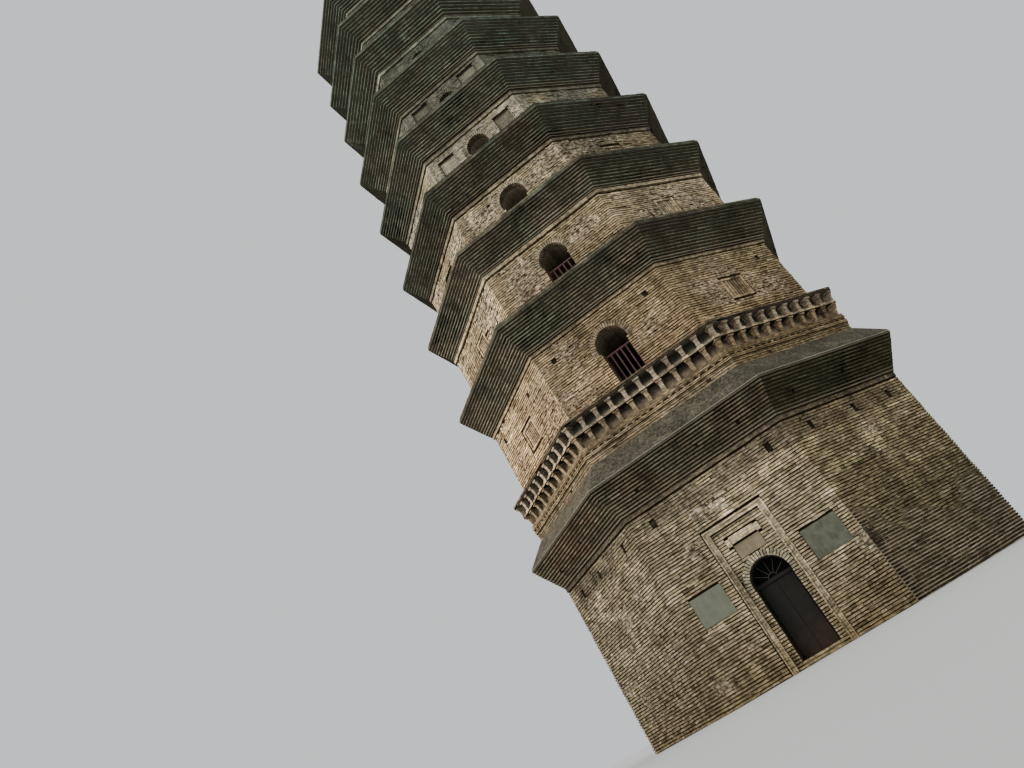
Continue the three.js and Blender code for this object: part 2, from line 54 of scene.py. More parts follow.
# figures of the CAD model
HEIGHT = 33.2  # in metres
BATTER = 0.0117
COURSE = 76
STOREYS = [  # top and corner radius of the wall, then middle and corner radius of the eave's edge
    (4690, 5580, 5610, 6215), (9725, 5230, 10815, 5970), (12785, 5110, 13670, 5730),
    (15360, 4820, 16250, 5490), (18000, 4520, 18875, 5225), (20460, 4205, 21315, 4980),
    (23000, 3910, 23640, 4670), (24960, 3700, 25645, 4460), (26960, 3470, 27660, 4215),
]
ARCHES = {  # half width of the jambs, shoulder, half width of the arch, springing
    2: (402, 8680, 462, 8803), 3: (420, 11897, 450, 11987), 4: (395, 14441, 456, 14633),
    5: (350, 17100, 390, 17230), 6: (310, 19590, 340, 19710), 7: (315, 22130, 350, 22240),
    8: (312, 24125, 350, 24240), 9: (304, 26140, 340, 26250),
}
FALSE_WINDOWS = {2: (880, 8240, 8980), 3: (790, 11460, 12200), 4: (760, 14300, 14860)}
SIDE_PANELS = {5: (1100, 610, 16960, 17615), 6: (970, 655, 19905, 20265)}
LIP_HALF = 40
TOP_COURSES, FIRST_STEP = 3, 40
DECK_TOP, DECK_RADIUS = 7550, 5795
DOOR_HALF, DOOR_SHOULDER, DOOR_SPRINGING, DOOR_SILL, REVEAL_BACK = 480, 1817, 1885, 137, 4856
SURROUND_HALF, SURROUND_TOP, INNER_HALF, INNER_TOP, SURROUND_STEP = 804, 3460, 636, 3330, 45
PLAQUES = [(-1440, 408, 1673, 2357), (1470, 426, 1673, 2357)]  # middle, half width, foot and top
TABLET, LINTEL = (330, 2540, 2860), (424, 2872, 3078)  # half width, foot and top
ROOF_BASE, ROOF_RADIUS, ROOF_TOP, ROOF_NECK = 27928, 3760, 30350, 640
LEAF_FRONT = 4810.6  # the face of the door leaves, and of the plate behind the fanlight's bars

# bricks: bed joints are washed out deep and wide, upright joints are thin
PITCH = 72.7
BED = 26
JOINT = 5
PROUD = 28
STRETCHER, HEADER = 300, 148
LONG_HEADER, CORBEL_LENGTH = 208, 290
SHORTEST = 45  # a shorter stretch is left open
SMALL_REST = 95  # a smaller rest isn't left for the last brick of a course
HOLE = 135  # side of a putlog hole
CLEAR = 8  # how far a course may reach over the edge of a stone or a recess
ROUND = 34400  # once round the tower, for the weather


def eave_top(number):
    return STOREYS[number - 1][2] + LIP_HALF + TOP_COURSES * COURSE


def wall_base(number):
    return 0 if number == 1 else DECK_TOP if number == 2 else eave_top(number - 1)


def base_radius(number):
    top, radius = STOREYS[number - 1][:2]
    return radius + BATTER * (top - wall_base(number))


def wall_face(number, z):
    """Distance of the CAD wall's outer face from the centre line at a height."""
    return (base_radius(number) - BATTER * (z - wall_base(number))) * COS


def corbel_radii(number):
    """Corner radius of each corbelled course of an eave."""
    top, radius, lip, eave = STOREYS[number - 1]
    count = round((lip - LIP_HALF - top) / COURSE)
    return [radius + (eave - radius) * (i + 0.5) / (count + 0.5) for i in range(count)]


# ---------------------------------------------------------------- meshes
BLOCK = [(4, 5, 6, 7), (3, 2, 1, 0), (0, 1, 5, 4), (1, 2, 6, 5), (2, 3, 7, 6), (3, 0, 4, 7)]
CHAMFERED = [(8, 9, 10, 11), (4, 5, 9, 8), (5, 6, 10, 9), (6, 7, 11, 10), (7, 4, 8, 11)] + BLOCK[1:]
# a corner brick's plan on both its levels: front left, corner, front right, back right, corner, left
ELBOW = [(0, 1, 7, 6), (1, 2, 8, 7), (2, 3, 9, 8), (5, 0, 6, 11), (3, 4, 10, 9), (4, 5, 11, 10),
         (6, 7, 10, 11), (7, 8, 9, 10), (0, 5, 4, 1), (1, 4, 3, 2)]


def to_world(face, x, d, z):
    """Points of a face's own frame in the part's frame."""
    turn = np.asarray(face) * (2 * HALF_SIDE)
    c, s = np.cos(turn), np.sin(turn)
    return np.stack(np.broadcast_arrays(x * c + d * s, x * s - d * c, z), axis=-1)


def wander(x, y, z):
    """How far a course strays from level at a place in the world."""
    return (3.4 * np.sin(0.0019 * x + 0.0007 * y + 0.0011 * z)
            + 2.6 * np.sin(0.0023 * y - 0.0016 * z + 1.7)
            + 1.9 * np.sin(0.0052 * x - 0.0047 * y + 0.004 * z)
            + 1.3 * np.sin(0.0097 * (x + y) - 0.007 * z + 0.6))


def step(value, low, high):
    """Rises smoothly from 0 to 1."""
    t = np.clip((value - low) / (high - low), 0, 1)
    return t * t * (3 - 2 * t)


def spread(rng, amount, shape):
    """Random shifts that keep within twice their spread."""
    return amount * np.clip(rng.normal(0, 1, shape), -2, 2)


def split(x0, x1, gaps):
    """The parts of a stretch outside the gaps."""
    parts = [(x0, x1)]
    for a, b in gaps:
        parts = [piece for p, q in parts for piece in ((p, min(q, a)), (max(p, b), q))
                 if piece[1] - piece[0] > SHORTEST]
    return parts


def slices(low, high, count):
    """A stretch cut into equal ones."""
    cuts = np.linspace(low, high, count + 1)
    return zip(cuts, cuts[1:])


def mirrored(side, a, b):
    """A stretch to the left (-1) or right (1) of the middle."""
    return sorted((side * a, side * b))


def turned(quad):
    """An outline in x and z, counterclockwise."""
    area = sum(p[0] * q[1] - q[0] * p[1] for p, q in zip(quad, quad[1:] + quad[:1]))
    return quad if area > 0 else quad[::-1]


def block_of(quad, back, front):
    """Corners of a block from its outline: four at the back, then the same four at the front."""
    return [(x, back, z) for x, z in quad] + [(x, front, z) for x, z in quad]


class Skin:
    """Gathers many small closed forms and makes one mesh of them. Each carries a tone: a random number,
    how much old plaster hides it, a brightness (0.5 is plain) and a greyness."""

    def __init__(self, seed, weather=None, uneven=0.0, top_edge_shade=1.0):
        """uneven is how far the courses wander, and the last number is painted shade: how bright the upper
        edge of each form is, set against its lower edge, as if in the shadow of the course above."""
        self.rng = np.random.default_rng(seed)
        self.weather, self.uneven, self.top_edge_shade = weather, uneven, top_edge_shade
        # share of bricks with filled joints, and how much of a joint is filled
        self.pointed, self.fill = 0.0, 8
        self.points, self.tones, self.loops, self.sizes, self.count = [], [], [], [], 0
        self.bricks, self.elbows = [], []

    def weathered(self, face, x, z, tones):
        """How far plaster closes the joints of each brick. Brightness and plaster go into its tone."""
        if self.weather is None:
            return np.zeros(len(face))
        closed, lime = self.weather(face, x, z)
        tones[:, 1] = closed
        tones[:, 2] *= lime
        return closed

    def add(self, points, faces, tones):
        """points is (n, k, 3) in world millimetres, and faces indexes into the k points of a copy."""
        points = np.array(points, float)
        if self.uneven:
            points[:, :, 2] += self.uneven * wander(*np.moveaxis(points, 2, 0))
        n, k = points.shape[:2]
        base = self.count + k * np.arange(n)
        for face in faces:
            self.loops.append((base[:, None] + np.array(face)[None, :]).ravel())
            self.sizes.append(np.full(n, len(face)))
        self.points.append(points.reshape(-1, 3))
        tones = np.repeat(np.asarray(tones, float).reshape(n, 1, 4), k, axis=1)
        # painted shade: the upper corners of each form get a darker tone, as if shaded by the course above
        high = points[:, :, 2] > points[:, :, 2].mean(axis=1, keepdims=True)
        tones[:, :, 2] *= np.where(high, self.top_edge_shade, 1)
        self.tones.append(tones.reshape(-1, 4))
        self.count += n * k

    def random_tones(self, n, bright=0.5, grey=0.0):
        tones = self.rng.random((n, 4))
        tones[:, 1], tones[:, 2], tones[:, 3] = 0, bright, grey
        return tones

    def blocks(self, faces, corners, tones, chamfer=0.0):
        """corners is (n, 8, 3) in a face's x, d and z, in the order of block_of."""
        corners = np.asarray(corners, float)
        shapes = BLOCK
        if chamfer:
            outer = corners[:, 4:8].copy()
            middle = outer.mean(axis=1, keepdims=True)
            inner = outer - np.sign(outer - middle) * chamfer * np.array([1, 0, 1])
            outer[:, :, 1] -= chamfer
            corners = np.concatenate([corners[:, :4], outer, inner], axis=1)
            shapes = CHAMFERED
        x, d, z = np.moveaxis(corners, 2, 0)
        self.add(to_world(np.asarray(faces)[:, None], x, d, z), shapes, tones)

    def brick(self, face, x0, x1, z0, z1, back, front, bright=0.5, grey=0.0):
        self.bricks.append((face, x0, x1, z0, z1, back, front, bright, grey))

    def span(self, face, x0, x1, z0, z1, back, front, length=STRETCHER, bright=0.5, grey=0.0, headers=0.4):
        """Fills a stretch of one course with bricks of uneven length."""
        x = x0
        while x1 - x > SHORTEST:
            size = HEADER if self.rng.random() < headers and length == STRETCHER else length
            size *= self.rng.uniform(0.9, 1.1)
            if x1 - x - size < SMALL_REST:
                size = x1 - x if x1 - x < 1.25 * length else (x1 - x) / 2
            self.brick(face, x, min(x + size, x1) - JOINT, z0, z1, back, front, bright, grey)
            x += size

    def course(self, z0, z1, back, front, legs, ends=(0, 0), bright=0.5, grey=0.0, length=STRETCHER,
               headers=0.4, gaps=None):
        """A course round the tower: a brick with two legs on each corner, and bricks between them. ends is
        what these leave free beside the legs, and gaps(face) gives the gaps in them."""
        for corner in FACES:
            self.elbows.append((corner, *legs, z0, z1, back, front, bright, grey))
        half = front * TAN
        for face in FACES:
            free = gaps(face) if gaps else ()
            for x0, x1 in split(-half + legs[1] + ends[0], half - legs[0] - ends[1], free):
                self.span(face, x0, x1, z0, z1, back, front, length, bright, grey, headers)

    def settle(self, jitter=2.2, sag=2.5, chamfer=0.0, worn=0.0):
        """Turns the gathered bricks into uneven blocks. worn is the share that has lost its face."""
        if self.bricks:
            rows = np.array(self.bricks, float)
            n = len(rows)
            x0, x1, z0, z1, back, front = rows[:, 1:7].T
            tones = self.random_tones(n, rows[:, 7], rows[:, 8])
            closed = self.weathered(rows[:, 0], (x0 + x1) / 2, (z0 + z1) / 2, tones)
            pointed = self.rng.random(n) < self.pointed
            closed = np.maximum(closed, np.where(pointed, self.rng.uniform(0.2, 0.7, n), 0))
            x0, x1 = x0 - 3 * closed, x1 + 3 * closed
            z0, z1 = z0 - self.fill * closed, z1 + self.fill * closed
            front = front + spread(self.rng, sag + 4 * closed, n)
            lost = self.rng.random(n) < worn
            front = np.where(lost, front - self.rng.uniform(6, 14, n), front)
            tones[:, 2] *= np.where(lost, 0.8, 1)
            corners = np.empty((n, 8, 3))
            for i, (x, z) in enumerate([(x0, z0), (x1, z0), (x1, z1), (x0, z1)]):
                corners[:, i] = np.stack([x, back, z], axis=1)
                corners[:, i + 4] = np.stack([x, front, z], axis=1)
            rough = jitter * (1 + 1.5 * closed)[:, None, None]
            corners[:, 4:] += rough * spread(self.rng, np.array([1, 0.7, 0.8]), (n, 4, 3))
            self.blocks(rows[:, 0], corners, tones, chamfer)
        if self.elbows:
            rows = np.array(self.elbows, float)
            n = len(rows)
            corner, a, b, z0, z1, back, front = rows[:, :7].T
            tones = self.random_tones(n, rows[:, 7], rows[:, 8])
            half = front * TAN
            closed = self.weathered(corner, half, (z0 + z1) / 2, tones)
            z0, z1 = z0 - self.fill * closed, z1 + self.fill * closed
            front = front + spread(self.rng, sag, n)
            half = front * TAN
            plan = [to_world(corner + after, -x if after else x, d, 0) for after, x, d in (
                (0, half - a, front), (0, half, front), (1, half - b, front),
                (1, half - b, back), (1, back * TAN, back), (0, half - a, back))]
            plan = np.stack(plan, axis=1)
            plan[:, :3, :2] += spread(self.rng, jitter * 0.7, (n, 3, 2))
            both = np.concatenate([plan, plan], axis=1)
            both[:, :6, 2], both[:, 6:, 2] = z0[:, None], z1[:, None]
            self.add(both, ELBOW, tones)
        self.bricks, self.elbows = [], []

    def mesh(self, name):
        mesh = bpy.data.meshes.new(name)
        points, loops = np.concatenate(self.points) * MM, np.concatenate(self.loops)
        sizes = np.concatenate(self.sizes)
        mesh.vertices.add(len(points))
        mesh.vertices.foreach_set("co", points.ravel())
        mesh.loops.add(len(loops))
        mesh.loops.foreach_set("vertex_index", loops.astype(np.int32))
        mesh.polygons.add(len(sizes))
        mesh.polygons.foreach_set("loop_start", (np.cumsum(sizes) - sizes).astype(np.int32))
        mesh.update(calc_edges=True)
        mesh.shade_flat()
        tone = mesh.attributes.new("tone", "FLOAT_COLOR", "POINT")
        tone.data.foreach_set("color", np.concatenate(self.tones).ravel())
        return mesh


def dress(skin, name, material, body="tower"):
    """Makes the gathered forms a piece of the object."""
    piece = bpy.data.objects.new(name, skin.mesh(name))
    piece.data.materials.append(material)
    bpy.context.scene.collection.objects.link(piece)
    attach(piece, body)
    return piece


# ---------------------------------------------------------------- materials
WHITE = (1.0, 1.0, 1.0)


def operator(name):
    return lambda one, other: one.paint.math(name, one, other)


class Value:
    """A number or colour of a material. Numbers can be added, compared and so on."""

    def __init__(self, paint, socket):
        self.paint, self.socket = paint, socket

    __add__, __sub__, __mul__ = operator("ADD"), operator("SUBTRACT"), operator("MULTIPLY")
    __truediv__, __gt__, __lt__ = operator("DIVIDE"), operator("GREATER_THAN"), operator("LESS_THAN")

    def clamped(self):
        self.socket.node.use_clamp = True
        return self


class Paint:
    """A procedural material and its colour so far."""

    def __init__(self, name, roughness=0.9, metallic=0.0, specular=0.3):
        self.material = bpy.data.materials.new(name)
        self.material.use_nodes = True
        self.tree = self.material.node_tree
        self.tree.nodes.clear()
        self.shader = self.node("BsdfPrincipled", {
            "Roughness": roughness, "Metallic": metallic, "Specular IOR Level": specular})
        self.tree.links.new(self.shader.outputs[0], self.node("OutputMaterial").inputs[0])
        self.place = Value(self, self.node("TexCoord").outputs["Object"])
        self.x, self.y, self.z = self.parts("SeparateXYZ", self.place)
        normal = Value(self, self.node("NewGeometry").outputs["Normal"])
        self.nx, self.ny, self.nz = self.parts("SeparateXYZ", normal)
        self.colour = None

    def put(self, socket, value):
        if isinstance(value, Value):
            self.tree.links.new(value.socket, socket)
        elif isinstance(value, tuple) and len(value) == 3 and len(socket.default_value) == 4:
            socket.default_value = (*value, 1)
        else:
            socket.default_value = value

    def node(self, kind, inputs=None, **settings):
        node = self.tree.nodes.new("ShaderNode" + kind)
        for key, value in settings.items():
            setattr(node, key, value)
        for key, value in (inputs or {}).items():
            self.put(node.inputs[key], value)
        return node

    def value(self, kind, inputs, output=0, **settings):
        return Value(self, self.node(kind, inputs, **settings).outputs[output])

    def parts(self, kind, whole):
        return [Value(self, socket) for socket in self.node(kind, {0: whole}).outputs]

    def math(self, operation, a, b=0.0):
        return self.value("Math", {0: a, 1: b}, operation=operation)

    def mix(self, factor, a, b, blend="MIX"):
        return self.value("Mix", {0: factor, 6: a, 7: b}, 2, data_type="RGBA", blend_type=blend,
                          clamp_factor=True)

    def noise(self, scale, detail, roughness, stretch=None, distortion=0.0):
        place = self.value("Mapping", {0: self.place, "Scale": stretch}) if stretch else self.place
        return self.value("TexNoise", {"Vector": place, "Scale": scale, "Detail": detail,
                                       "Roughness": roughness, "Distortion": distortion})

    def ramp(self, factor, *stops):
        """stops are (place, grey or colour)."""
        node = self.node("ValToRGB", {0: factor})
        elements = node.color_ramp.elements
        while len(elements) < len(stops):
            elements.new(0.5)
        for element, (place, colour) in zip(elements, stops):
            element.position = place
            element.color = (*(colour if isinstance(colour, tuple) else (colour,) * 3), 1)
        return Value(self, node.outputs[0])

    def tone(self):
        """The four numbers that a brick carries."""
        node = self.node("Attribute", attribute_name="tone")
        return (*self.parts("SeparateColor", Value(self, node.outputs["Color"])),
                Value(self, node.outputs["Alpha"]))

    def height(self, low=0.0, high=HEIGHT):
        """Rises from 0 to 1 between two heights."""
        return ((self.z - low if low else self.z) / (high - low)).clamped()

    def bump(self, height, distance, strength, after=None):
        inputs = {"Strength": strength, "Distance": distance, "Height": height}
        return self.value("Bump", {**inputs, "Normal": after} if after else inputs)

    def multiplied(self, colour, factor):
        return self.mix(1.0, colour, factor, "MULTIPLY")

    def times(self, factor):
        self.colour = self.multiplied(self.colour, factor)

    def vary(self, value, *stops):
        """Makes the colour brighter or darker, or tints it, by a ramp over a value."""
        self.times(self.ramp(value, *stops))

    def cover(self, share, colour):
        """Hides a share of the colour behind another one."""
        self.colour = self.mix(share, self.colour, colour)

    def finish(self, bump=None, roughness=None):
        for name, value in (("Base Color", self.colour), ("Normal", bump), ("Roughness", roughness)):
            if value is not None:
                self.put(self.shader.inputs[name], value)
        return self.material

    def reach(self):
        """Distance from the centre line."""
        return self.math("SQRT", self.x * self.x + self.y * self.y)

    def shaded(self, sides, under):
        """The colour with painted shade on the faces turned away from the light: the sides of a brick, and
        its underside.
        """
        facing = ((self.nx * self.x + self.ny * self.y) / self.reach()).clamped()
        colour = self.multiplied(self.colour, self.ramp(facing, (0.45, sides), (0.8, 1.0)))
        return self.multiplied(colour, self.ramp(self.nz * -1.0, (0.3, 1.0), (0.8, under / sides)))

    def limed(self):
        """Where the joints are pale lime and the bricks dark: low on the sides to the right of the door."""
        rise = self.math("SUBTRACT", 1.75, self.z) * 0.3
        low = self.ramp(self.noise(0.8, 3, 0.5) + rise, (0.47, 0.0), (0.54, 1.0))
        return low * self.ramp(self.nx, (0.35, 0.0), (0.6, 1.0))

    def painted_side_light_and_stains(self, *rows):
        """Painted light and shade on the sides left and right of the door: lighter on the left, where the
        light falls, and darker on the right, where low down it is partly painted shade of a tree and partly
        stains. rows are (height, left, right), going up.
        """
        side = (self.nx * 0.5 + 0.5).clamped()
        tint, below = None, None
        for height, left, right in rows:
            here = self.ramp(side, (0.12, left), (0.5, WHITE), (0.88, right))
            tint = here if tint is None else self.mix(self.height(below, height), tint, here)
            below = height
        self.times(tint)


def wall_brick():
    paint = Paint("wall_brick", 0.93, 0.0, 0.15)
    chance, closed, bright, grey = paint.tone()
    paint.colour = paint.ramp(
        chance, (0.0, (0.24, 0.185, 0.105)), (0.1, (0.4, 0.315, 0.185)), (0.5, (0.47, 0.37, 0.22)),
        (0.9, (0.55, 0.435, 0.265)), (0.97, (0.62, 0.49, 0.31)), (1.0, (0.7, 0.6, 0.43)))
    reddish = paint.ramp(paint.noise(1.9, 5, 0.6), (0.55, 0.0), (0.7, 0.4))
    paint.cover(reddish, (0.42, 0.27, 0.18))
    paint.cover(grey, (0.32, 0.3, 0.24))
    grain = paint.noise(34, 6, 0.7)
    paint.vary(grain, (0.32, 0.62), (0.68, 1.3))
    paint.vary(paint.noise(8, 5, 0.62), (0.34, 0.84), (0.64, 1.13))
    # dashes of light and dark, which fade on the smooth upper storeys
    smooth = paint.ramp(paint.height(), (0.48, 0.0), (0.57, 0.62))
    dashes = paint.ramp(paint.noise(6.5, 3, 0.6, (1, 1, 4)), (0.38, 0.56), (0.5, 0.98), (0.62, 1.55))
    paint.times(paint.mix(smooth, dashes, WHITE))
    # rough remains of lime plaster, pale with dark pits
    pits = paint.noise(8, 8, 0.78, (1, 1, 2.3))
    rubble = paint.ramp(pits, (0.42, (0.045, 0.034, 0.02)), (0.49, (0.31, 0.24, 0.15)),
                        (0.55, (0.62, 0.51, 0.35)), (0.64, (0.92, 0.79, 0.6)))
    coat = paint.ramp(paint.noise(3.5, 5, 0.6), (0.36, (0.36, 0.31, 0.215)), (0.64, (0.58, 0.505, 0.375)))
    paint.cover(closed, paint.mix(smooth, rubble, coat))
    # dark streaks that run down, broad clouds, and the change with height
    paint.vary(paint.noise(1.0, 5, 0.6, (2.6, 2.6, 0.3)), (0.36, 0.62), (0.6, 1.08))
    paint.vary(paint.noise(0.4, 3, 0.5), (0.3, 0.8), (0.7, 1.16))
    paint.vary(
        paint.height(), (0.0, (0.72, 0.68, 0.6)), (0.022, (0.88, 0.86, 0.82)), (0.05, (1.0, 1.02, 1.02)),
        (0.09, (1.0, 1.02, 1.02)), (0.12, (1.18, 1.17, 1.18)), (0.17, WHITE), (0.22, (1.16, 1.02, 0.94)),
        (0.32, (1.04, 0.98, 0.94)), (0.42, (1.26, 1.23, 1.19)), (0.52, (1.12, 1.18, 1.22)),
        (0.6, (0.56, 0.64, 0.64)), (0.67, (0.4, 0.49, 0.52)), (0.74, (0.42, 0.52, 0.58)),
        (1.0, (0.44, 0.54, 0.6)))
    # painted light and shade by side and height: lighter to the left of the door, darker to the right
    paint.painted_side_light_and_stains(
        (2.0, (0.8, 0.81, 0.82), (0.42, 0.43, 0.37)), (4.0, (0.8, 0.8, 0.8), (0.88, 0.86, 0.77)),
        (6.6, (0.9, 0.88, 0.86), (0.72, 0.7, 0.62)), (7.4, (2.0, 1.89, 1.8), (0.88, 0.9, 0.86)),
        (12.5, (2.05, 1.98, 1.96), (1.1, 1.14, 1.16)), (14.5, (1.6, 1.55, 1.5), (0.56, 0.6, 0.58)),
        (17.5, (1.5, 1.5, 1.5), (0.64, 0.68, 0.68)))
    paint.times(paint.mix(paint.limed(), WHITE, (0.3, 0.29, 0.26)))
    # painted shade on the sides and undersides of the bricks
    paint.colour = paint.shaded(0.62, 0.4)
    paint.times(bright * 2.0)
    return paint.finish(paint.bump(pits, 0.02, 0.7, paint.bump(grain, 0.004, 0.9)))


def corbel_brick():
    paint = Paint("corbel_brick", 0.92, 0.0, 0.12)
    chance, _, bright, grey = paint.tone()
    paint.colour = paint.ramp(
        chance, (0.0, (0.14, 0.128, 0.09)), (0.1, (0.19, 0.173, 0.124)), (0.9, (0.24, 0.22, 0.16)),
        (0.98, (0.27, 0.25, 0.18)), (1.0, (0.36, 0.33, 0.25)))
    grain = paint.noise(30, 6, 0.7)
    paint.vary(grain, (0.3, 0.6), (0.7, 1.35))
    # damp, lichen and moss
    paint.vary(paint.noise(1.5, 6, 0.65, distortion=0.4), (0.38, 0.55), (0.6, 1.15))
    paint.vary(paint.noise(5, 4, 0.65), (0.38, 0.76), (0.62, 1.28))
    paint.vary(paint.noise(0.9, 3, 0.5), (0.42, (1.1, 0.99, 0.95)), (0.6, (0.92, 1.03, 0.96)))
    height = paint.height()
    paint.vary(height, (0.14, (1.0, 0.93, 0.82)), (0.32, (1.06, 1.06, 1.0)), (0.46, (1.03, 1.08, 1.04)),
               (0.6, (1.05, 1.2, 1.2)), (0.72, (1.16, 1.44, 1.5)), (1.0, (1.16, 1.44, 1.5)))
    # painted light and shade by side and height: lighter to the left of the door, darker to the right
    paint.painted_side_light_and_stains(
        (6.6, (1.25, 1.15, 1.1), (0.36, 0.42, 0.3)), (7.4, (1.3, 1.26, 1.25), (0.68, 0.7, 0.68)),
        (13.5, (1.3, 1.26, 1.25), (0.68, 0.72, 0.7)), (16.0, (0.92, 0.96, 1.0), (0.72, 0.82, 0.84)))
    # the tops of the courses are made lighter and warmer
    paint.vary(paint.nz, (0.3, WHITE), (0.8, (1.7, 1.35, 1.2)))
    paint.cover(grey, (0.36, 0.3, 0.2))
    # painted shade on the sides and undersides of the corbels, deeper on the lower eaves
    paint.colour = paint.mix(paint.ramp(height, (0.56, 0.0), (0.72, 1.0)), paint.shaded(0.5, 0.13),
                             paint.shaded(0.8, 0.5))
    paint.times(bright * 2.0)
    return paint.finish(paint.bump(grain, 0.004, 0.8))


def masonry_core(name, joint, brick, dark=False):
    """The CAD solids behind the bricks: dark mortar outside, whose near-black colour also paints the shade in
    the deep joints, and plain brickwork on the inner faces.
    """
    paint = Paint(name, 0.96, 0.0, 0.03)
    x, y, z, nx, ny, height = paint.x, paint.y, paint.z, paint.nx, paint.ny, paint.height()
    outward, along = nx * x + ny * y, nx * y - ny * x
    pattern = paint.value("TexBrick", {
        "Vector": paint.value("CombineXYZ", {0: along, 1: z}), "Scale": 1.0, "Brick Width": 0.3,
        "Row Height": PITCH * MM, "Mortar Size": 0.006, "Color1": brick,
        "Color2": tuple(0.85 * c for c in brick), "Mortar": tuple(0.6 * c for c in brick)})
    inside = paint.multiplied(pattern, paint.ramp(
        height, (0.3, 0.36), (0.42, 0.6), (0.57, 0.74), (0.6, 2.2), (0.65, 2.2), (0.68, 0.65)))
    # painted shade: the inner faces of recesses near the outer face are darker, as no light reaches them from
    # the rooms
    if dark:
        inside = paint.mix(paint.reach() > 3.1, inside, (0.1, 0.088, 0.063))
        # the lowest eave: the light edge of its cement, the course under that, the band over the skirt
        eave = outward > 5.73
        outside = paint.mix(eave * (z > 5.615), joint, (0.24, 0.215, 0.165))
        outside = paint.mix(eave * (z < 5.6), outside, (0.12, 0.105, 0.07))
        outside = paint.mix((z > 6.2) * (z < 6.8), outside, (0.055, 0.043, 0.028))
        outside = paint.mix(paint.ramp(height, (0.56, 0.0), (0.72, 1.0)), outside, (0.035, 0.038, 0.032))
    else:
        inset = paint.math("MAXIMUM", z - 12.8, 0.0) * 0.106
        inside = paint.mix(paint.reach() + inset > 4.45, inside, (0.17, 0.145, 0.1))
        outside = paint.mix(paint.limed(), joint, (0.68, 0.58, 0.41))
    paint.colour = paint.mix(outward > 2.3, inside, outside)
    grain = paint.noise(26, 5, 0.65)
    paint.vary(grain, (0.3, 0.6), (0.7, 1.3))
    paint.vary(paint.noise(0.8, 4, 0.55), (0.3, 0.7), (0.7, 1.2))
    return paint.finish(paint.bump(grain, 0.006, 0.9))


def recess_plaster(name, low, high, *stops):
    """Old plaster behind a row of brackets, with painted shadow under the ledge above it."""
    paint = Paint(name, 0.95, 0.0, 0.05)
    paint.colour = paint.ramp(paint.height(low, high), *stops)
    cloud = paint.noise(7, 6, 0.65)
    paint.vary(cloud, (0.34, 0.6), (0.64, 1.3))
    # painted shade on the faces that look down
    paint.vary(paint.nz * -1.0, (0.4, 1.0), (0.8, 0.35))
    return paint.finish(paint.bump(cloud, 0.006, 0.8))


def cement():
    """Rough render with pebbles in it, patched and stained."""
    paint = Paint("rough_cement", 0.95)
    pebbles = paint.noise(15, 5, 0.75)
    paint.colour = paint.ramp(
        paint.noise(1.6, 6, 0.65, distortion=0.5), (0.34, (0.057, 0.05, 0.032)),
        (0.5, (0.094, 0.082, 0.054)), (0.66, (0.145, 0.125, 0.086)))
    paint.vary(pebbles, (0.38, 0.4), (0.5, 0.95), (0.62, 1.9))
    # painted light and shade by side: lighter to the left of the door, darker to the right
    paint.painted_side_light_and_stains((0.0, (1.45, 1.35, 1.25), (0.8, 0.82, 0.7)))
    return paint.finish(paint.bump(pebbles, 0.03, 1.0))


def smooth_stone(name, light, dark, stain):
    paint = Paint(name, 0.75)
    fine = paint.noise(60, 4, 0.6)
    paint.colour = paint.ramp(paint.noise(5, 6, 0.6), (0.3, dark), (0.66, light))
    paint.vary(fine, (0.3, 0.86), (0.7, 1.1))
    paint.cover(paint.ramp(paint.noise(1.0, 5, 0.6, (9, 9, 0.8)), (0.52, 0.0), (0.72, 0.55)), stain)
    return paint.finish(paint.bump(fine, 0.0015, 0.7))


def door_paint(name, base, rust, roughness=0.7, specular=0.25):
    paint = Paint(name, roughness, 0.0, specular)
    cloud = paint.noise(4.5, 6, 0.65, distortion=0.4)
    runs = paint.noise(1.0, 5, 0.65, (14, 14, 1.1))
    light, dark = (tuple(share * c for c in base) for share in (1.7, 0.45))
    paint.colour = paint.mix(paint.ramp(cloud, (0.42, 0.0), (0.68, 0.6)), base, light)
    paint.cover(paint.ramp(runs, (0.5, 0.0), (0.72, 0.6)), dark)
    foot = paint.ramp(paint.height(0, 2.4), (0.06, 0.9), (0.3, 0.25), (0.42, 0.0))
    paint.cover(foot * paint.ramp(cloud, (0.3, 0.3), (0.6, 1.0)), rust)
    paint.vary(paint.noise(70, 4, 0.6), (0.3, 0.85), (0.7, 1.12))
    return paint.finish(paint.bump(cloud, 0.002, 0.5))


def red_paint():
    paint = Paint("dull_red_paint", 0.6, 0.0, 0.35)
    worn = paint.noise(9, 6, 0.7, (1, 1, 0.35))
    paint.colour = paint.mix(paint.ramp(worn, (0.42, 0.0), (0.66, 0.85)), (0.075, 0.021, 0.019),
                             (0.13, 0.062, 0.053))
    paint.vary(paint.noise(80, 4, 0.6), (0.3, 0.75), (0.7, 1.2))
    return paint.finish(paint.bump(worn, 0.002, 0.7))


def iron():
    paint = Paint("dark_cast_iron", 0.62, 0.6, 0.5)
    cloud, fine = paint.noise(6, 6, 0.65), paint.noise(55, 4, 0.6)
    paint.colour = paint.ramp(cloud, (0.3, (0.035, 0.034, 0.032)), (0.55, (0.07, 0.064, 0.056)),
                              (0.72, (0.13, 0.075, 0.045)))
    paint.vary(fine, (0.3, 0.8), (0.7, 1.15))
    return paint.finish(paint.bump(fine, 0.002, 0.8), paint.ramp(cloud, (0.3, 0.45), (0.7, 0.8)))


WALL, CORBEL, RED, IRON = wall_brick(), corbel_brick(), red_paint(), iron()
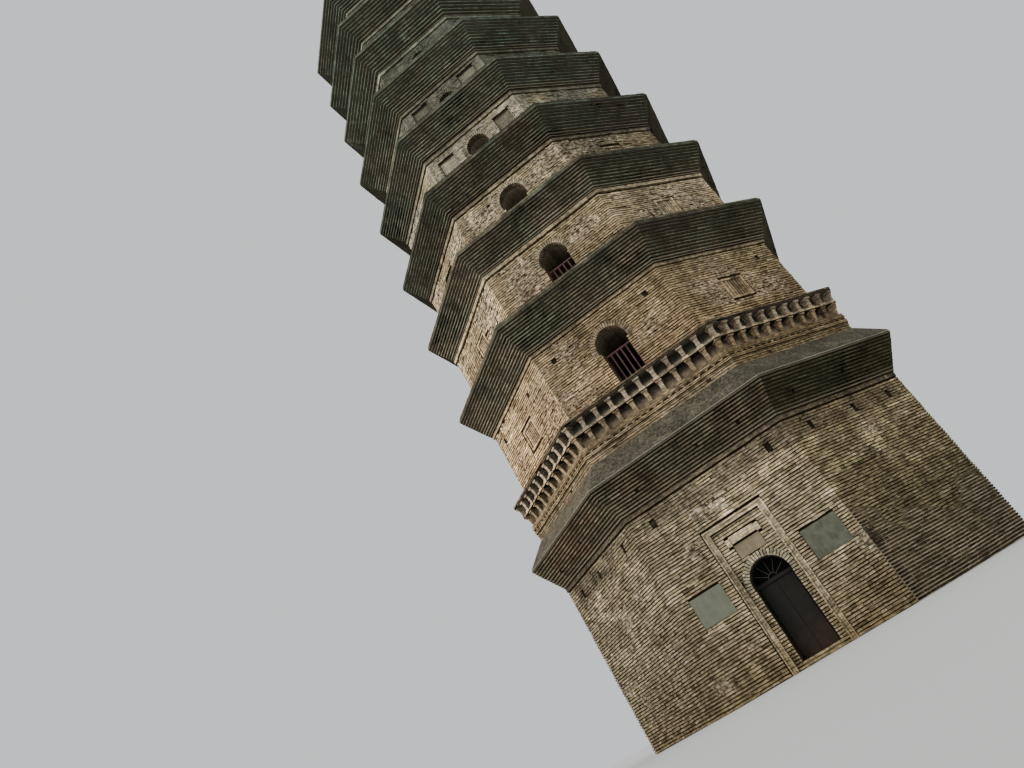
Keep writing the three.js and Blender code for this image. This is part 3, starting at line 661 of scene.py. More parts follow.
# the near-black joint colours are dark mortar and also paint the shade in the deep joints
CORE = masonry_core("mortar_core", (0.017, 0.0125, 0.0065), (0.62, 0.52, 0.37))
DARK_CORE = masonry_core("dark_mortar_core", (0.005, 0.0045, 0.003), (0.5, 0.44, 0.32), True)
FLOOR_STONE = smooth_stone("floor_stone", (0.2, 0.18, 0.13), (0.12, 0.105, 0.075), (0.07, 0.06, 0.04))
DOOR_SHEET = door_paint("door_sheet", (0.012, 0.011, 0.0085), (0.05, 0.027, 0.014))
FAN_BAR = door_paint("fanlight_bar", (0.05, 0.046, 0.036), (0.05, 0.046, 0.036))

FINISHES = {
    "ground_floor": FLOOR_STONE, "door_threshold": FLOOR_STONE, "door_surround": CORE, "finial": IRON,
    "balcony_deck": DARK_CORE, "roof": DARK_CORE, "eave_1_skirt": cement(),
    "door_fanlight": door_paint("fanlight_sheet", (0.003, 0.003, 0.0025), (0.003, 0.003, 0.0025), 0.9, 0.1),
    "name_tablet": smooth_stone("beige_stone", (0.3, 0.24, 0.155), (0.22, 0.17, 0.105), (0.14, 0.11, 0.07)),
    "plaque_left": smooth_stone(
        "blue_grey_stone", (0.18, 0.19, 0.135), (0.14, 0.148, 0.105), (0.12, 0.115, 0.08)),
    "plaque_right": smooth_stone(
        "green_grey_stone", (0.14, 0.145, 0.1), (0.07, 0.075, 0.05), (0.04, 0.042, 0.028)),
    # the dark upper ends of these ramps are painted shadow under the ledges above
    "balcony_brackets_lower": recess_plaster(
        "lower_recess_plaster", 6.77, 7.11, (0.0, (0.38, 0.285, 0.185)), (0.4, (0.25, 0.19, 0.128)),
        (0.7, (0.07, 0.056, 0.04)), (1.0, (0.045, 0.038, 0.029))),
    "balcony_brackets_upper": recess_plaster(
        "upper_recess_plaster", 7.11, 7.46, (0.0, (0.05, 0.042, 0.03)), (0.14, (0.26, 0.23, 0.165)),
        (0.34, (0.2, 0.178, 0.126)), (0.6, (0.055, 0.052, 0.037)), (1.0, (0.028, 0.027, 0.02))),
}
FINISH_OF_KIND = {"door": DOOR_SHEET, "railing": RED, "eave": DARK_CORE}
for node_name, node in nodes.items():
    kind = node_name.split("_")[0]
    node.data.materials.clear()
    node.data.materials.append(FINISHES.get(node_name, FINISH_OF_KIND.get(kind, CORE)))


# ---------------------------------------------------------------- weather
class Cloud:
    """A smooth random field over the walls, from 0 to 1."""

    def __init__(self, seed, cell, tall):
        self.grid = np.random.default_rng(seed).random((64, 64))
        self.cell, self.tall = cell, tall

    def __call__(self, face, x, z):
        cells = round(ROUND / self.cell)
        u, v = (face * ROUND / SIDES + x) / ROUND * cells, z / (self.cell * self.tall)
        total, weight = 0.0, 0.0
        for octave in range(4):
            i, j = np.floor(u).astype(int), np.floor(v).astype(int)
            s, t = u - i, v - j
            s, t = s * s * (3 - 2 * s), t * t * (3 - 2 * t)
            here, after = i % cells % 64, (i + 1) % cells % 64
            a, b = self.grid[here, j % 64], self.grid[after, j % 64]
            c, d = self.grid[here, (j + 1) % 64], self.grid[after, (j + 1) % 64]
            total += 0.5 ** octave * ((a * (1 - s) + b * s) * (1 - t) + (c * (1 - s) + d * s) * t)
            weight += 0.5 ** octave
            u, v, cells = 2 * u, 2 * v + 5.7, 2 * cells
        return total / weight


# how much of each storey old plaster hides: on the front and back, to the left of the door, and elsewhere
PLASTER = {2: (0.1, 0.0, 0.1), 3: (0.5, 0.6, 0.42), 4: (0.62, 0.62, 0.4), 5: (0.75, 0.65, 0.5),
           6: (0.9, 0.7, 0.7), 7: (0.85, 0.7, 0.7), 8: (0.8, 0.7, 0.7), 9: (0.8, 0.7, 0.7)}
# places on the front that limewash keeps lighter, or damp darker: middle, reach and strength
LIGHT = {1: [(-1130, 1300, 560, 900, 0.42), (2000, 500, 640, 1500, -0.36), (1700, 3300, 500, 700, 0.25)],
         5: [(-520, 17150, 110, 260, 0.9)]}


def weather_of(number):
    """Plaster and lime on a storey, as a function of places on it."""
    patches, smears = Cloud(10 + number, 1100, 0.7), Cloud(30 + number, 700, 0.45)

    def weather(face, x, z):
        patch, smear = patches(face, x, z), smears(face, x, z)
        beside = 1.0
        for x0, z0, wide, tall, strength in LIGHT.get(number, []):
            near = np.exp(-((x - x0) / wide) ** 2 - ((z - z0) / tall) ** 2)
            beside = beside * (1 + strength * np.where(face % SIDES == FRONT, near, 0))
        if number == 1:
            # a plastered zone under the eave
            zone = step(z, 3960, 4180) * step(patch, 0.3, 0.46) * (1 - step(z, 4560, 4600))
            closed = np.maximum(zone * 0.8, step(patch, 0.7, 0.76))
            lime = 1 + 0.7 * step(smear, 0.57, 0.73) * step(z, 900, 3000) * (1 - zone)
            return closed * (1 - 0.35 * zone), lime * (1 - 0.38 * zone) * beside
        share = np.select([np.isin(face % SIDES, (0, 4)), np.isin(face % SIDES, (6, 7))],
                          PLASTER[number][:2], PLASTER[number][2])
        edge = 0.5 + 0.28 * (0.5 - share)
        return step(patch, edge - 0.07, edge + 0.07), (1 + 0.5 * step(smear, 0.55, 0.72)) * beside

    return weather


# ---------------------------------------------------------------- walls
# depth of the ring of bricks on edge round an arch, and the spacing of its bricks and of those in its legs
RING, RING_PITCH, LEG_PITCH = 150, 74, 70
OUTER_GAP, INNER_GAP, LEG_GAP = 10, 7, 4  # half of the joints in it
# how far the bricks beside an arch reach in, and how long the longer ones are
JAMB_DEPTH, LONG_JAMB = 150, 216


class Opening:
    """A round-headed opening with its ring of bricks on edge."""

    def __init__(self, faces, jamb, shoulder, half, springing, bottom, depth):
        self.faces, self.jamb, self.shoulder, self.half = faces, jamb, shoulder, half
        self.springing, self.bottom, self.depth = springing, bottom, depth

    def reach(self, z):
        """Half the width that a course at a height leaves free."""
        if z < self.shoulder:
            return self.jamb
        outer = self.half + RING
        if z <= self.springing:
            return outer
        return math.sqrt(max(0.0, outer ** 2 - (z - self.springing) ** 2))

    def ring(self, skin, number, recess, proud, grey=0.35):
        """The ring, and the two short legs between the shoulder and the springing."""
        inner, outer = self.half - INNER_GAP, self.half + RING
        count = round(math.pi * (self.half + RING / 2) / RING_PITCH)
        legs = max(1, round((self.springing - self.shoulder) / LEG_PITCH))
        corners, faces = [], []
        for face in self.faces:
            quads = [[(side * inner, z0 + LEG_GAP), (side * outer, z0 + LEG_GAP),
                      (side * outer, z1 - LEG_GAP), (side * inner, z1 - LEG_GAP)]
                     for z0, z1 in slices(self.shoulder, self.springing, legs) for side in LEFT_AND_RIGHT]
            for i in range(count):
                a0, a1 = math.pi * i / count, math.pi * (i + 1) / count
                quads.append([(radius * math.cos(angle), self.springing + radius * math.sin(angle))
                              for radius, angle in (
                                  (outer, a0 + OUTER_GAP / outer), (outer, a1 - OUTER_GAP / outer),
                                  (inner, a1 - INNER_GAP / inner), (inner, a0 + INNER_GAP / inner))])
            for quad in map(turned, quads):
                out = proud + skin.rng.normal(0, 2.5)
                corners.append([(x, wall_face(number, z) - recess + d, z) for d in (-self.depth, out)
                                for x, z in quad])
                faces.append(face)
        uneven = 0.5 + skin.rng.normal(0, 0.07, len(faces))
        skin.blocks(faces, corners, skin.random_tones(len(faces), uneven, grey), 3.0)


# the band at the head of each wall, which starts the eave: the foot of the dark groove under it, its own foot
# and its top, all measured from the top of the wall, how proud of the wall it is, its brightness, and how
# many corbelled courses it stands for
HEADS = {1: (-100, -60, 46, 44, 0.18, 1), 2: (44, 70, 150, 85, 0.4, 2), 3: (-72, -32, 76, 78, 0.46, 1),
         4: (-86, -51, 45, 70, 0.27, 1), 5: (-122, -90, 22, 70, 0.37, 1), 6: (-72, -28, 76, 70, 0.6, 1),
         7: (-190, -155, -40, 70, 0.95, 0), 8: (-100, -75, 20, 70, 0.9, 0), 9: (-100, -75, 20, 70, 0.9, 0)}
HOLES = {  # height of a storey's putlog holes, then the face and x of each
    1: (4253, [(0, -1572), (0, 1596), (7, -1380), (7, -120), (7, 1488), (1, -1400), (1, 150), (1, 1450),
               (2, -1500), (2, 1500), (4, -1500), (4, 1540), (6, -1480), (6, 1500), (3, -1300), (3, 1400),
               (5, -1400), (5, 1380)]),
    2: (9377, [(0, -1536), (0, 1416), (7, -1500), (7, 900), (1, 1400), (2, -1500), (4, 1450), (6, -1450),
               (3, 1400), (5, -1400)]),
}


def wall_skin(number, seed, openings, blanks, chamfer):
    """Courses of bricks on all eight faces of a storey, with a light band under the eave."""
    skin = Skin(seed, weather_of(number), 1.0, 0.68)
    skin.pointed, skin.fill = 0.3, 8 if number < 5 else 12
    base, top = wall_base(number), STOREYS[number - 1][0]
    groove, foot, head, proud, band_bright, _ = HEADS[number]
    hole_z, holes = HOLES.get(number, (base, []))
    clear = top + min(groove, 0) - base
    courses = round(clear / PITCH)
    pitch = clear / courses

    def gaps(face, row, z0, z1, d):
        """What a course leaves free. The bricks at the jambs of an opening are laid first."""
        found, middle = [], (z0 + z1) / 2
        for opening in openings:
            reach = opening.reach(middle)
            if face not in opening.faces or z1 <= opening.bottom or reach <= 0:
                continue
            if middle < opening.shoulder:
                jamb = HEADER if (row // 2) % 2 else LONG_JAMB
                for side in LEFT_AND_RIGHT:
                    ends = mirrored(side, reach - 6, reach + jamb - JOINT)
                    skin.brick(face, *ends, z0, z1, d - JAMB_DEPTH, d + PROUD)
                reach += jamb
            found.append((-reach, reach - JOINT))
        found += [(x0 - JOINT, x1) for faces, x0, x1, low, high in blanks
                  if face in faces and z0 < high - CLEAR and z1 > low + CLEAR]
        found += [(x - HOLE / 2 - JOINT, x + HOLE / 2) for where, x in holes
                  if where == face and z0 < hole_z + HOLE / 2 and z1 > hole_z - HOLE / 2]
        return found

    for row in range(courses):
        z0, z1 = base + row * pitch + BED * 0.55, base + (row + 1) * pitch - BED * 0.45
        d = wall_face(number, (z0 + z1) / 2)
        a, b = (STRETCHER, HEADER) if row % 2 else (HEADER, STRETCHER)
        skin.course(z0, z1, d - 12, d + PROUD, (a - JOINT, b), (0, JOINT),
                    gaps=lambda face: gaps(face, row, z0, z1, d))
    if groove > 0:
        front = corbel_radii(number)[0] * COS + 14
        skin.course(top + 4, top + groove, front - 40, front, (HEADER - JOINT, STRETCHER), (0, JOINT))
    skin.settle(3.4, 4.2, chamfer, 0.11)
    # the smooth light band that the eave stands on
    skin.weather, skin.pointed = None, 0.0
    front = wall_face(number, top) + proud
    skin.course(top + foot, top + head, front - 75, front, (STRETCHER, STRETCHER), (3, 0), band_bright, 0.2,
                860 if number == 1 else 370)
    skin.settle(1.5, 0.8, chamfer)
    # a near-black plate paints the shade in the depth of each putlog hole
    d = wall_face(number, hole_z)
    for face, x in holes:
        skin.brick(face, x - HOLE / 2, x + HOLE / 2 - 8, hole_z - HOLE / 2, hole_z + HOLE / 2,
                   d - 4, d + 1, 0.03)
    skin.settle(0, 0)
    return skin


# ground storey
blanks = [((FRONT,), x - half, x + half, low, high) for x, half, low, high in PLAQUES]
blanks.append(((FRONT,), -SURROUND_HALF, SURROUND_HALF, 0, SURROUND_TOP - 8))
dress(wall_skin(1, 101, [], blanks, 3.0), "ground_wall_bricks", WALL)

# inside of the surround: bricks on the second step, the ring over the door and its jambs
LONG_QUOIN, SHORT_QUOIN = 560, 520  # how far from the middle the bricks beside the door end
trim = Skin(102, lambda face, x, z: (0.25 * step(z, 2400, 2700), 1 + 0.25 * step(z, 2300, 2700)))
recess = 2 * SURROUND_STEP
jamb_back = REVEAL_BACK + 6
door = Opening((FRONT,), DOOR_HALF - 18, DOOR_SHOULDER, DOOR_HALF, DOOR_SPRINGING, DOOR_SILL,
               wall_face(1, 2000) - recess - jamb_back)
courses = round(INNER_TOP / PITCH)
pitch = INNER_TOP / courses
for row in range(courses):
    z0, z1 = row * pitch + BED * 0.5, (row + 1) * pitch - BED * 0.4
    middle = (z0 + z1) / 2
    d = wall_face(1, middle) - recess
    reach = door.reach(middle) if z1 > DOOR_SILL else 0
    if 0 < reach and middle < door.shoulder:
        quoin = LONG_QUOIN if row % 2 else SHORT_QUOIN
        for side in LEFT_AND_RIGHT:
            trim.brick(FRONT, *mirrored(side, reach, quoin), z0, z1, jamb_back, d + PROUD + 6, 0.52, 0.2)
            trim.brick(FRONT, *mirrored(side, quoin + JOINT, INNER_HALF - 2), z0, z1, d - 10, d + PROUD)
        continue
    gaps = [(-reach, reach - JOINT)] if reach > 0 else []
    for half, low, high in (TABLET, LINTEL):
        if low - CLEAR < z1 and z0 < high + CLEAR:
            gaps.append((-half - 2 * JOINT, half + JOINT))
    for x0, x1 in split(-INNER_HALF + 2, INNER_HALF - 2 + JOINT, gaps):
        trim.span(FRONT, x0, x1, z0, z1, d - 10, d + PROUD)
trim.settle(chamfer=3.0)
door.ring(trim, 1, recess, PROUD + 8, 0.45)
# thin bricks along the two ribs of the surround's band
RIB, RIB_PROUD = 34, 50
for edge, top, count in (
        (SURROUND_HALF - 14, SURROUND_TOP - 14, 11), (INNER_HALF + RIB, INNER_TOP + RIB, 10)):
    for z0, z1 in slices(0, top - RIB, count):
        d = wall_face(1, (z0 + z1) / 2) - SURROUND_STEP + RIB_PROUD
        for side in LEFT_AND_RIGHT:
            ends = mirrored(side, edge + 2, edge - RIB - 2)
            trim.brick(FRONT, *ends, z0 + 3, z1 - 3, d - 30, d + 7, 0.5, 0.1)
    d = wall_face(1, top) - SURROUND_STEP + RIB_PROUD
    for x0, x1 in slices(-edge - 2, edge + 2, 5):
        trim.brick(FRONT, x0 + 3, x1 - 3, top - RIB - 2, top + 2, d - 30, d + 7, 0.5, 0.1)
# bricks between the ribs
half = SURROUND_HALF - 18 - RIB
BETWEEN, BETWEEN_PROUD = 150, 24
d = wall_face(1, INNER_TOP) - SURROUND_STEP + BETWEEN_PROUD
trim.span(FRONT, -half, half + JOINT, INNER_TOP + RIB + 4, SURROUND_TOP - 18 - RIB, d - 20, d + 6, 250, 0.42)
for row in range(round(INNER_TOP / BETWEEN)):
    z0, z1 = row * BETWEEN + 5, (row + 1) * BETWEEN - 5
    d = wall_face(1, (z0 + z1) / 2) - SURROUND_STEP + BETWEEN_PROUD
    for side in LEFT_AND_RIGHT:
        ends = mirrored(side, INNER_HALF + RIB + 4, half)
        trim.brick(FRONT, *ends, z0, z1, d - 20, d + 6, 0.44, 0.1)
        if z1 > INNER_TOP - BETWEEN:
            trim.brick(FRONT, *ends, z1 + 6, INNER_TOP + RIB, d - 20, d + 6, 0.42, 0.1)
trim.settle(1.2, 1.0, chamfer=2.0)
# the lintel: three rows of small bricks, and a capping on each end block
LINTEL_FOOT, LINTEL_ROW, LINTEL_HALF, LINTEL_PROUD = 2900, 59.3, 318, 95
END_BLOCK, END_HALF, END_PROUD = 372, 54, 130
for row in range(3):
    z0 = LINTEL_FOOT + row * LINTEL_ROW
    d = wall_face(1, z0) - recess + LINTEL_PROUD
    trim.span(FRONT, -LINTEL_HALF + JOINT, LINTEL_HALF, z0 + 3, z0 + 55, d - 40, d + 6, 150, 0.66, 0.0)
for x in (-END_BLOCK, END_BLOCK):
    for z0, z1 in ((2872, 2926), (2932, 2986), (2992, 3040)):
        d = wall_face(1, z0) - recess + END_PROUD
        trim.brick(FRONT, x - END_HALF, x + END_HALF, z0, z1, d - 60, d + 6, 0.64, 0.1)
trim.settle(1.2, 1.0, chamfer=2.5)
dress(trim, "door_surround_bricks", WALL)

# upper storeys
for number in range(2, 10):
    arch = Opening(CARDINALS, *ARCHES[number], wall_base(number), 160)
    blanks = []
    if number in FALSE_WINDOWS:
        width, low, high = FALSE_WINDOWS[number]
        blanks.append((DIAGONALS, -width / 2, width / 2, low, high))
    if number in SIDE_PANELS:
        centre, width, low, high = SIDE_PANELS[number]
        blanks += [(CARDINALS, x - width / 2, x + width / 2, low, high) for x in (-centre, centre)]
    storey = wall_skin(number, 200 + number, [arch], blanks, 3.0 if number < 4 else 0.0)
    arch.ring(storey, number, 0, PROUD + 7)
    dress(storey, f"storey_{number}_bricks", WALL)

# false windows: a brick frame and upright bars in each recess
lattice = Skin(300)
BARS, RIM = 7, 66
for number, (width, low, high) in FALSE_WINDOWS.items():
    d = wall_face(number, (low + high) / 2)
    outer, z0, z1 = width / 2 - 38, low + 34, high - 38
    pitch = 2 * (outer - RIM) / BARS
    for face in DIAGONALS:
        for side in LEFT_AND_RIGHT:
            for a, b in slices(z0, z1, 3):
                ends = mirrored(side, outer, outer - RIM)
                lattice.brick(face, *ends, a + 2, b - 2, d - 88, d + 12, 0.5, 0.1)
        for a, b in ((z0, z0 + RIM), (z1 - RIM, z1)):
            for x0, x1 in slices(-outer + RIM + 3, outer - RIM - 3, 2):
                lattice.brick(face, x0 + 2, x1 - 2, a, b, d - 88, d + 12, 0.5, 0.1)
        for i in range(BARS):
            x = -outer + RIM + pitch * (i + 0.5)
            lattice.brick(face, x - pitch * 0.3, x + pitch * 0.3, z0 + RIM + 3, z1 - RIM - 3, d - 88, d - 22,
                          0.44, 0.2)
lattice.settle(1.5, 1.5, chamfer=7.0)
# light plaster in the side panels, under a dark upper edge; those on the front have kept it unevenly
PANEL_TONES = {(5, FRONT, False): 0.78, (5, FRONT, True): 0.16,
               (6, FRONT, False): 0.46, (6, FRONT, True): 0.68}
for number, (centre, width, low, high) in SIDE_PANELS.items():
    d = wall_face(number, high)
    for face in CARDINALS:
        for x in (-centre, centre):
            left, right = x - width / 2, x + width / 2
            bright = PANEL_TONES.get((number, face, x > 0), 0.35)
            lattice.brick(face, left + 20, right - 12, low + 4, high - 12, d - 74, d - 46, bright, 0.5)
            for edge in (left - 12, right - 12):
                lattice.brick(face, edge, edge + 24, low + 4, high + 8, d - 40, d + PROUD + 8, 0.4, 0.5)
lattice.settle(1.5, 1.5, chamfer=4.0)
dress(lattice, "false_window_lattices", WALL)


# ---------------------------------------------------------------- eaves
# brightness of each eave's inner and outer corbels, its edge and the course over that
EAVE_TONES = {1: (0.5, 0.5, 0.5, 0.5), 2: (0.8, 0.3, 0.3, 0.6), 3: (0.75, 0.34, 0.38, 0.7),
              4: (0.45, 0.4, 0.36, 0.27), 5: (0.7, 0.38, 0.42, 0.4), 6: (0.68, 0.42, 0.4, 0.42),
              7: (0.7, 0.46, 0.45, 0.45), 8: (0.55, 0.48, 0.5, 0.5), 9: (0.55, 0.45, 0.45, 0.45)}


def corbel_legs(i):
    """The two legs of a corner brick, changing places from course to course."""
    return (STRETCHER - JOINT, LONG_HEADER) if i % 2 else (LONG_HEADER - JOINT, STRETCHER)


def eave_skin(number):
    """Bricks on every corbelled course of an eave, and on the steps above its edge."""
    skin = Skin(400 + number, None, 0.8, 0.3)
    top, radius, lip, eave = STOREYS[number - 1]
    radii, first = corbel_radii(number), HEADS[number][5]
    rise, count = lip - LIP_HALF - top, len(radii)
    inner, outer, edge, over = EAVE_TONES[number]
    behind = radius * COS
    for i, corner_radius in enumerate(radii):
        d = corner_radius * COS
        if i >= first:
            z0, z1 = top + rise * i / count + 4, top + rise * (i + 1) / count - 23
            if i == first and number > 1:
                z0, z1 = z0 + 26, z1 + 8
            pale = {first: 0.5, first + 1: 0.25}.get(i, 0.0)
            bright = inner + (outer - inner) * i / count
            skin.course(z0, z1, behind - 25, d + 11, corbel_legs(i), (0, 0), bright, pale, CORBEL_LENGTH)
        behind = d
    if number > 1:
        foot = ROOF_RADIUS if number == 9 else base_radius(number + 1)
        start = eave - FIRST_STEP
        edges = [eave] + [start + (foot - start) * i / TOP_COURSES for i in range(TOP_COURSES)] + [foot]
        for i in range(TOP_COURSES + 1):
            z = lip + LIP_HALF + COURSE * i
            z0, z1 = (z - 74, z + 9) if i == 0 else (z - COURSE + 18, z + 11)
            skin.course(z0, z1, edges[i + 1] * COS - 30, edges[i] * COS + 7, corbel_legs(i), (0, 0),
                        (edge, over, 0.4, 0.4)[i], 0.0, CORBEL_LENGTH)
    skin.settle(2.0, 2.2, chamfer=3.5 if number < 5 else 0.0)
    if number == 1:
        # putlog holes in the fifth and sixth course, each a near-black plate that paints the shade in it
        for face in FACES:
            for x, i in ((-1443 if face % 2 else 1380, 5), (-1443, 5), (300, 6)):  # place and course
                z, d = top + rise * (i + 0.5) / count, radii[i] * COS
                skin.brick(face, x - 45, x + 45, z - 44, z + 28, d - 10, d + 15, 0.03)
        skin.settle(0, 0)
    return skin


for number in range(1, 10):
    dress(eave_skin(number), f"eave_{number}_bricks", CORBEL)

# roof: courses that step in
roof = Skin(500, None, 0.2, 0.6)
slope = (ROOF_RADIUS - ROOF_NECK) / (ROOF_TOP - ROOF_BASE)
rows = round((ROOF_TOP - ROOF_BASE) / COURSE)
pitch = (ROOF_TOP - ROOF_BASE) / rows
for i in range(rows):
    z0 = ROOF_BASE + i * pitch
    front = (ROOF_RADIUS - slope * i * pitch) * COS + 8
    side = 2 * front * TAN
    leg = min(STRETCHER * (0.8 if i % 2 else 0.5), side * 0.22) - 10
    roof.course(z0 + 13, z0 + pitch + 9, front - slope * pitch * COS - 60, front, (leg, leg), (10, JOINT),
                0.3, 0.4, min(CORBEL_LENGTH, side / 3))
roof.settle(2.0, 2.2)
dress(roof, "roof_bricks", CORBEL)


# ---------------------------------------------------------------- balcony band
BAYS = 10
LOWER_RADIUS, BEAM_RADIUS, PLATE_RADIUS, UPPER_RADIUS = 5600, 5665, 5695, 5715
BRACKET_SIDE = 2 * LOWER_RADIUS * math.sin(HALF_SIDE)
BRACKET_DEPTH = 260
STRAIGHT = [(face, BRACKET_SIDE * (bay / BAYS - 0.5)) for face in FACES for bay in range(1, BAYS)]
CORNERS = [(face + 0.5, 0.0) for face in FACES]


def bracket_row(skin, radius, sections, grow, bright, grey):
    """A row of turned blocks. sections are (z, half width, how proud of the radius), going up, and grow is
    how far a corner block reaches further out."""
    last = 4 * (len(sections) - 1)
    faces = [(3, 2, 1, 0)]
    for a in range(0, last, 4):
        faces += [(a + j, a + (j + 1) % 4, a + 4 + (j + 1) % 4, a + 4 + j) for j in range(4)]
    faces.append((last, last + 1, last + 2, last + 3))
    for places, extra in ((STRAIGHT, 0), (CORNERS, grow)):
        forms = []
        for turn, x in places:
            points = []
            for z, half, proud in sections:
                back, front = radius * COS + proud - BRACKET_DEPTH, radius * COS + proud + extra
                points += [to_world(turn, x + dx, d, z) for dx, d in (
                    (-half, front), (half, front), (half, back), (-half, back))]
            forms.append(points)
        skin.add(forms, faces, skin.random_tones(len(places), bright, grey))


brackets = Skin(600)
bracket_row(brackets, LOWER_RADIUS, [
    (6771, 55, -79), (6790, 57, -72), (6880, 57, -48), (6960, 56, -26), (7020, 57, -6), (7054, 62, 16),
    (7066, 84, 40), (7072, 87, 43), (7104, 87, 44), (7109, 84, 42)], 425, 0.46, 0.3)
bracket_row(brackets, PLATE_RADIUS, [
    (7112, 82, 2), (7118, 88, 6), (7172, 88, 8), (7179, 83, 4)], 420, 0.72, 0.3)
dress(brackets, "balcony_lower_brackets", WALL)
caps = Skin(601)
bracket_row(caps, UPPER_RADIUS, [
    (7181, 54, -33), (7194, 56, -30), (7260, 56, -20), (7330, 54, -8), (7376, 57, 8), (7400, 66, 28),
    (7411, 84, 44), (7417, 89, 46), (7450, 89, 47), (7459, 86, 45)], 425, 0.5, 0.85)
dress(caps, "balcony_upper_brackets", WALL)

# courses round the band: the plain ones over the skirt, one of them with holes, the ledge and the two courses
# over the row of small arches, and the thin light edge of the beam between the two rows of brackets
band = Skin(602, None, 0.35, 0.75)
plain, ledge, beam = 5545 * COS, 5595 * COS, BEAM_RADIUS * COS
BAND_HOLES = [(0, -1356), (0, 1416), (7, 700), (1, -900), (2, 1300), (4, -1200), (6, 1250), (3, 900),
              (5, -1000)]
BAND = [  # foot, top, front, depth, length of the bricks, brightness, greyness, holes
    (6280, 6328, plain + 18, 28, 300, 0.4, 0.1, []), (6346, 6394, plain + 14, 24, 300, 0.42, 0.1, BAND_HOLES),
    (6410, 6440, plain + 26, 36, 340, 0.48, 0.1, []), (6458, 6490, plain + 8, 18, 300, 0.32, 0.0, []),
    (6502, 6536, ledge + 9, 69, 360, 0.46, 0.0, []), (6543, 6574, ledge + 18, 78, 360, 0.5, 0.0, []),
    (6654, 6700, ledge + 20, 80, 330, 0.34, 0.0, []), (6706, 6770, ledge + 15, 75, 330, 0.31, 0.0, []),
    (7124, 7162, beam + 6, 56, 400, 0.5, 0.5, []),
]
for z0, z1, front, depth, length, bright, grey, holes in BAND:
    band.course(z0, z1, front - depth, front, (200, 200), (10, 0), bright, grey, length,
                gaps=lambda face: [(x - 60, x + 60) for where, x in holes if where == face])
band.settle(1.8, 1.8)
# the small arches: each is a strip with a round notch
SCALLOPS, NOTCH_STEPS, NOTCH_FOOT, NOTCH_RISE, NOTCH_TOP = 2 * BAYS, 6, 6580, 52, 6648
front = ledge + 2
side = 2 * front * TAN
width = side / SCALLOPS
arc = [(x, NOTCH_FOOT + NOTCH_RISE * math.sqrt(max(0.0, 1 - (x / (width * 0.4)) ** 2)))
       for x in np.linspace(-width / 2, width / 2, NOTCH_STEPS + 1)]
pieces = []
for i in range(SCALLOPS):
    centre = width * (i + 0.5) - side / 2
    for (x0, a), (x1, b) in zip(arc, arc[1:]):
        x0, x1 = centre + x0, centre + x1
        pieces.append(block_of([(x0, a), (x1, b), (x1, NOTCH_TOP), (x0, NOTCH_TOP)], ledge - 60, front))
where = np.repeat(FACES, len(pieces))
band.blocks(where, pieces * SIDES, band.random_tones(len(where), 0.36, 0.0))
dress(band, "balcony_band_bricks", WALL)

# edge and top of the deck
deck = Skin(603)
edge = DECK_RADIUS * COS
for z0, z1, back, front, length, bright in (
        (7463, 7500, edge - 88, edge + 2, 480, 0.08), (7510, 7556, edge - 76, edge + 14, 480, 0.2),
        (7548, 7555, base_radius(2) * COS - 20, edge - 82, 420, 0.5)):
    deck.course(z0, z1, back, front, (260, 260), (10, 0), bright, 0.4, length, 0.0)
deck.settle(1.5, 1.2, chamfer=3.0)
dress(deck, "balcony_deck_slabs", WALL)


# ---------------------------------------------------------------- door, fanlight, finial
def bar(a, b, width):
    """Corners of a flat bar between two points of the fanlight."""
    (xa, za), (xb, zb) = a, b
    length = math.hypot(xb - xa, zb - za)
    sx, sz = -(zb - za) / length * width / 2, (xb - xa) / length * width / 2
    quad = [(xa + sx, za + sz), (xa - sx, za - sz), (xb - sx, zb - sz), (xb + sx, zb + sz)]
    return block_of(turned(quad), LEAF_FRONT + 8, LEAF_FRONT + 20)


def fan_point(radius, angle):
    return radius * math.cos(angle), DOOR_SPRINGING + radius * math.sin(angle)


fan = Skin(700)
corners = [bar(fan_point(90, math.pi * i / 6), fan_point(415, math.pi * i / 6), 15) for i in range(1, 6)]
hub = [fan_point(110, math.pi * k / 8) for k in range(9)]
corners += [bar(a, b, 14) for a, b in zip(hub, hub[1:])]
fan.blocks([FRONT] * len(corners), corners, fan.random_tones(len(corners)), 2.0)
dress(fan, "fanlight_bars", FAN_BAR)

# each leaf has a folded border on its sheet
for side, body in ((-1, "left_leaf"), (1, "right_leaf")):
    leaf = Skin(701 + side)
    corners = []
    for x0, x1, z0, z1 in (
            (5, 39, 147, 1809), (382, 416, 147, 1809), (41, 380, 147, 187), (41, 380, 1769, 1809)):
        a, b = mirrored(side, x0, x1)
        corners.append(block_of([(a, z0), (b, z0), (b, z1), (a, z1)], LEAF_FRONT - 6, LEAF_FRONT + 4))
    leaf.blocks([FRONT] * len(corners), corners, leaf.random_tones(len(corners)), 1.5)
    dress(leaf, f"{body}_sheet_folds", DOOR_SHEET, body)

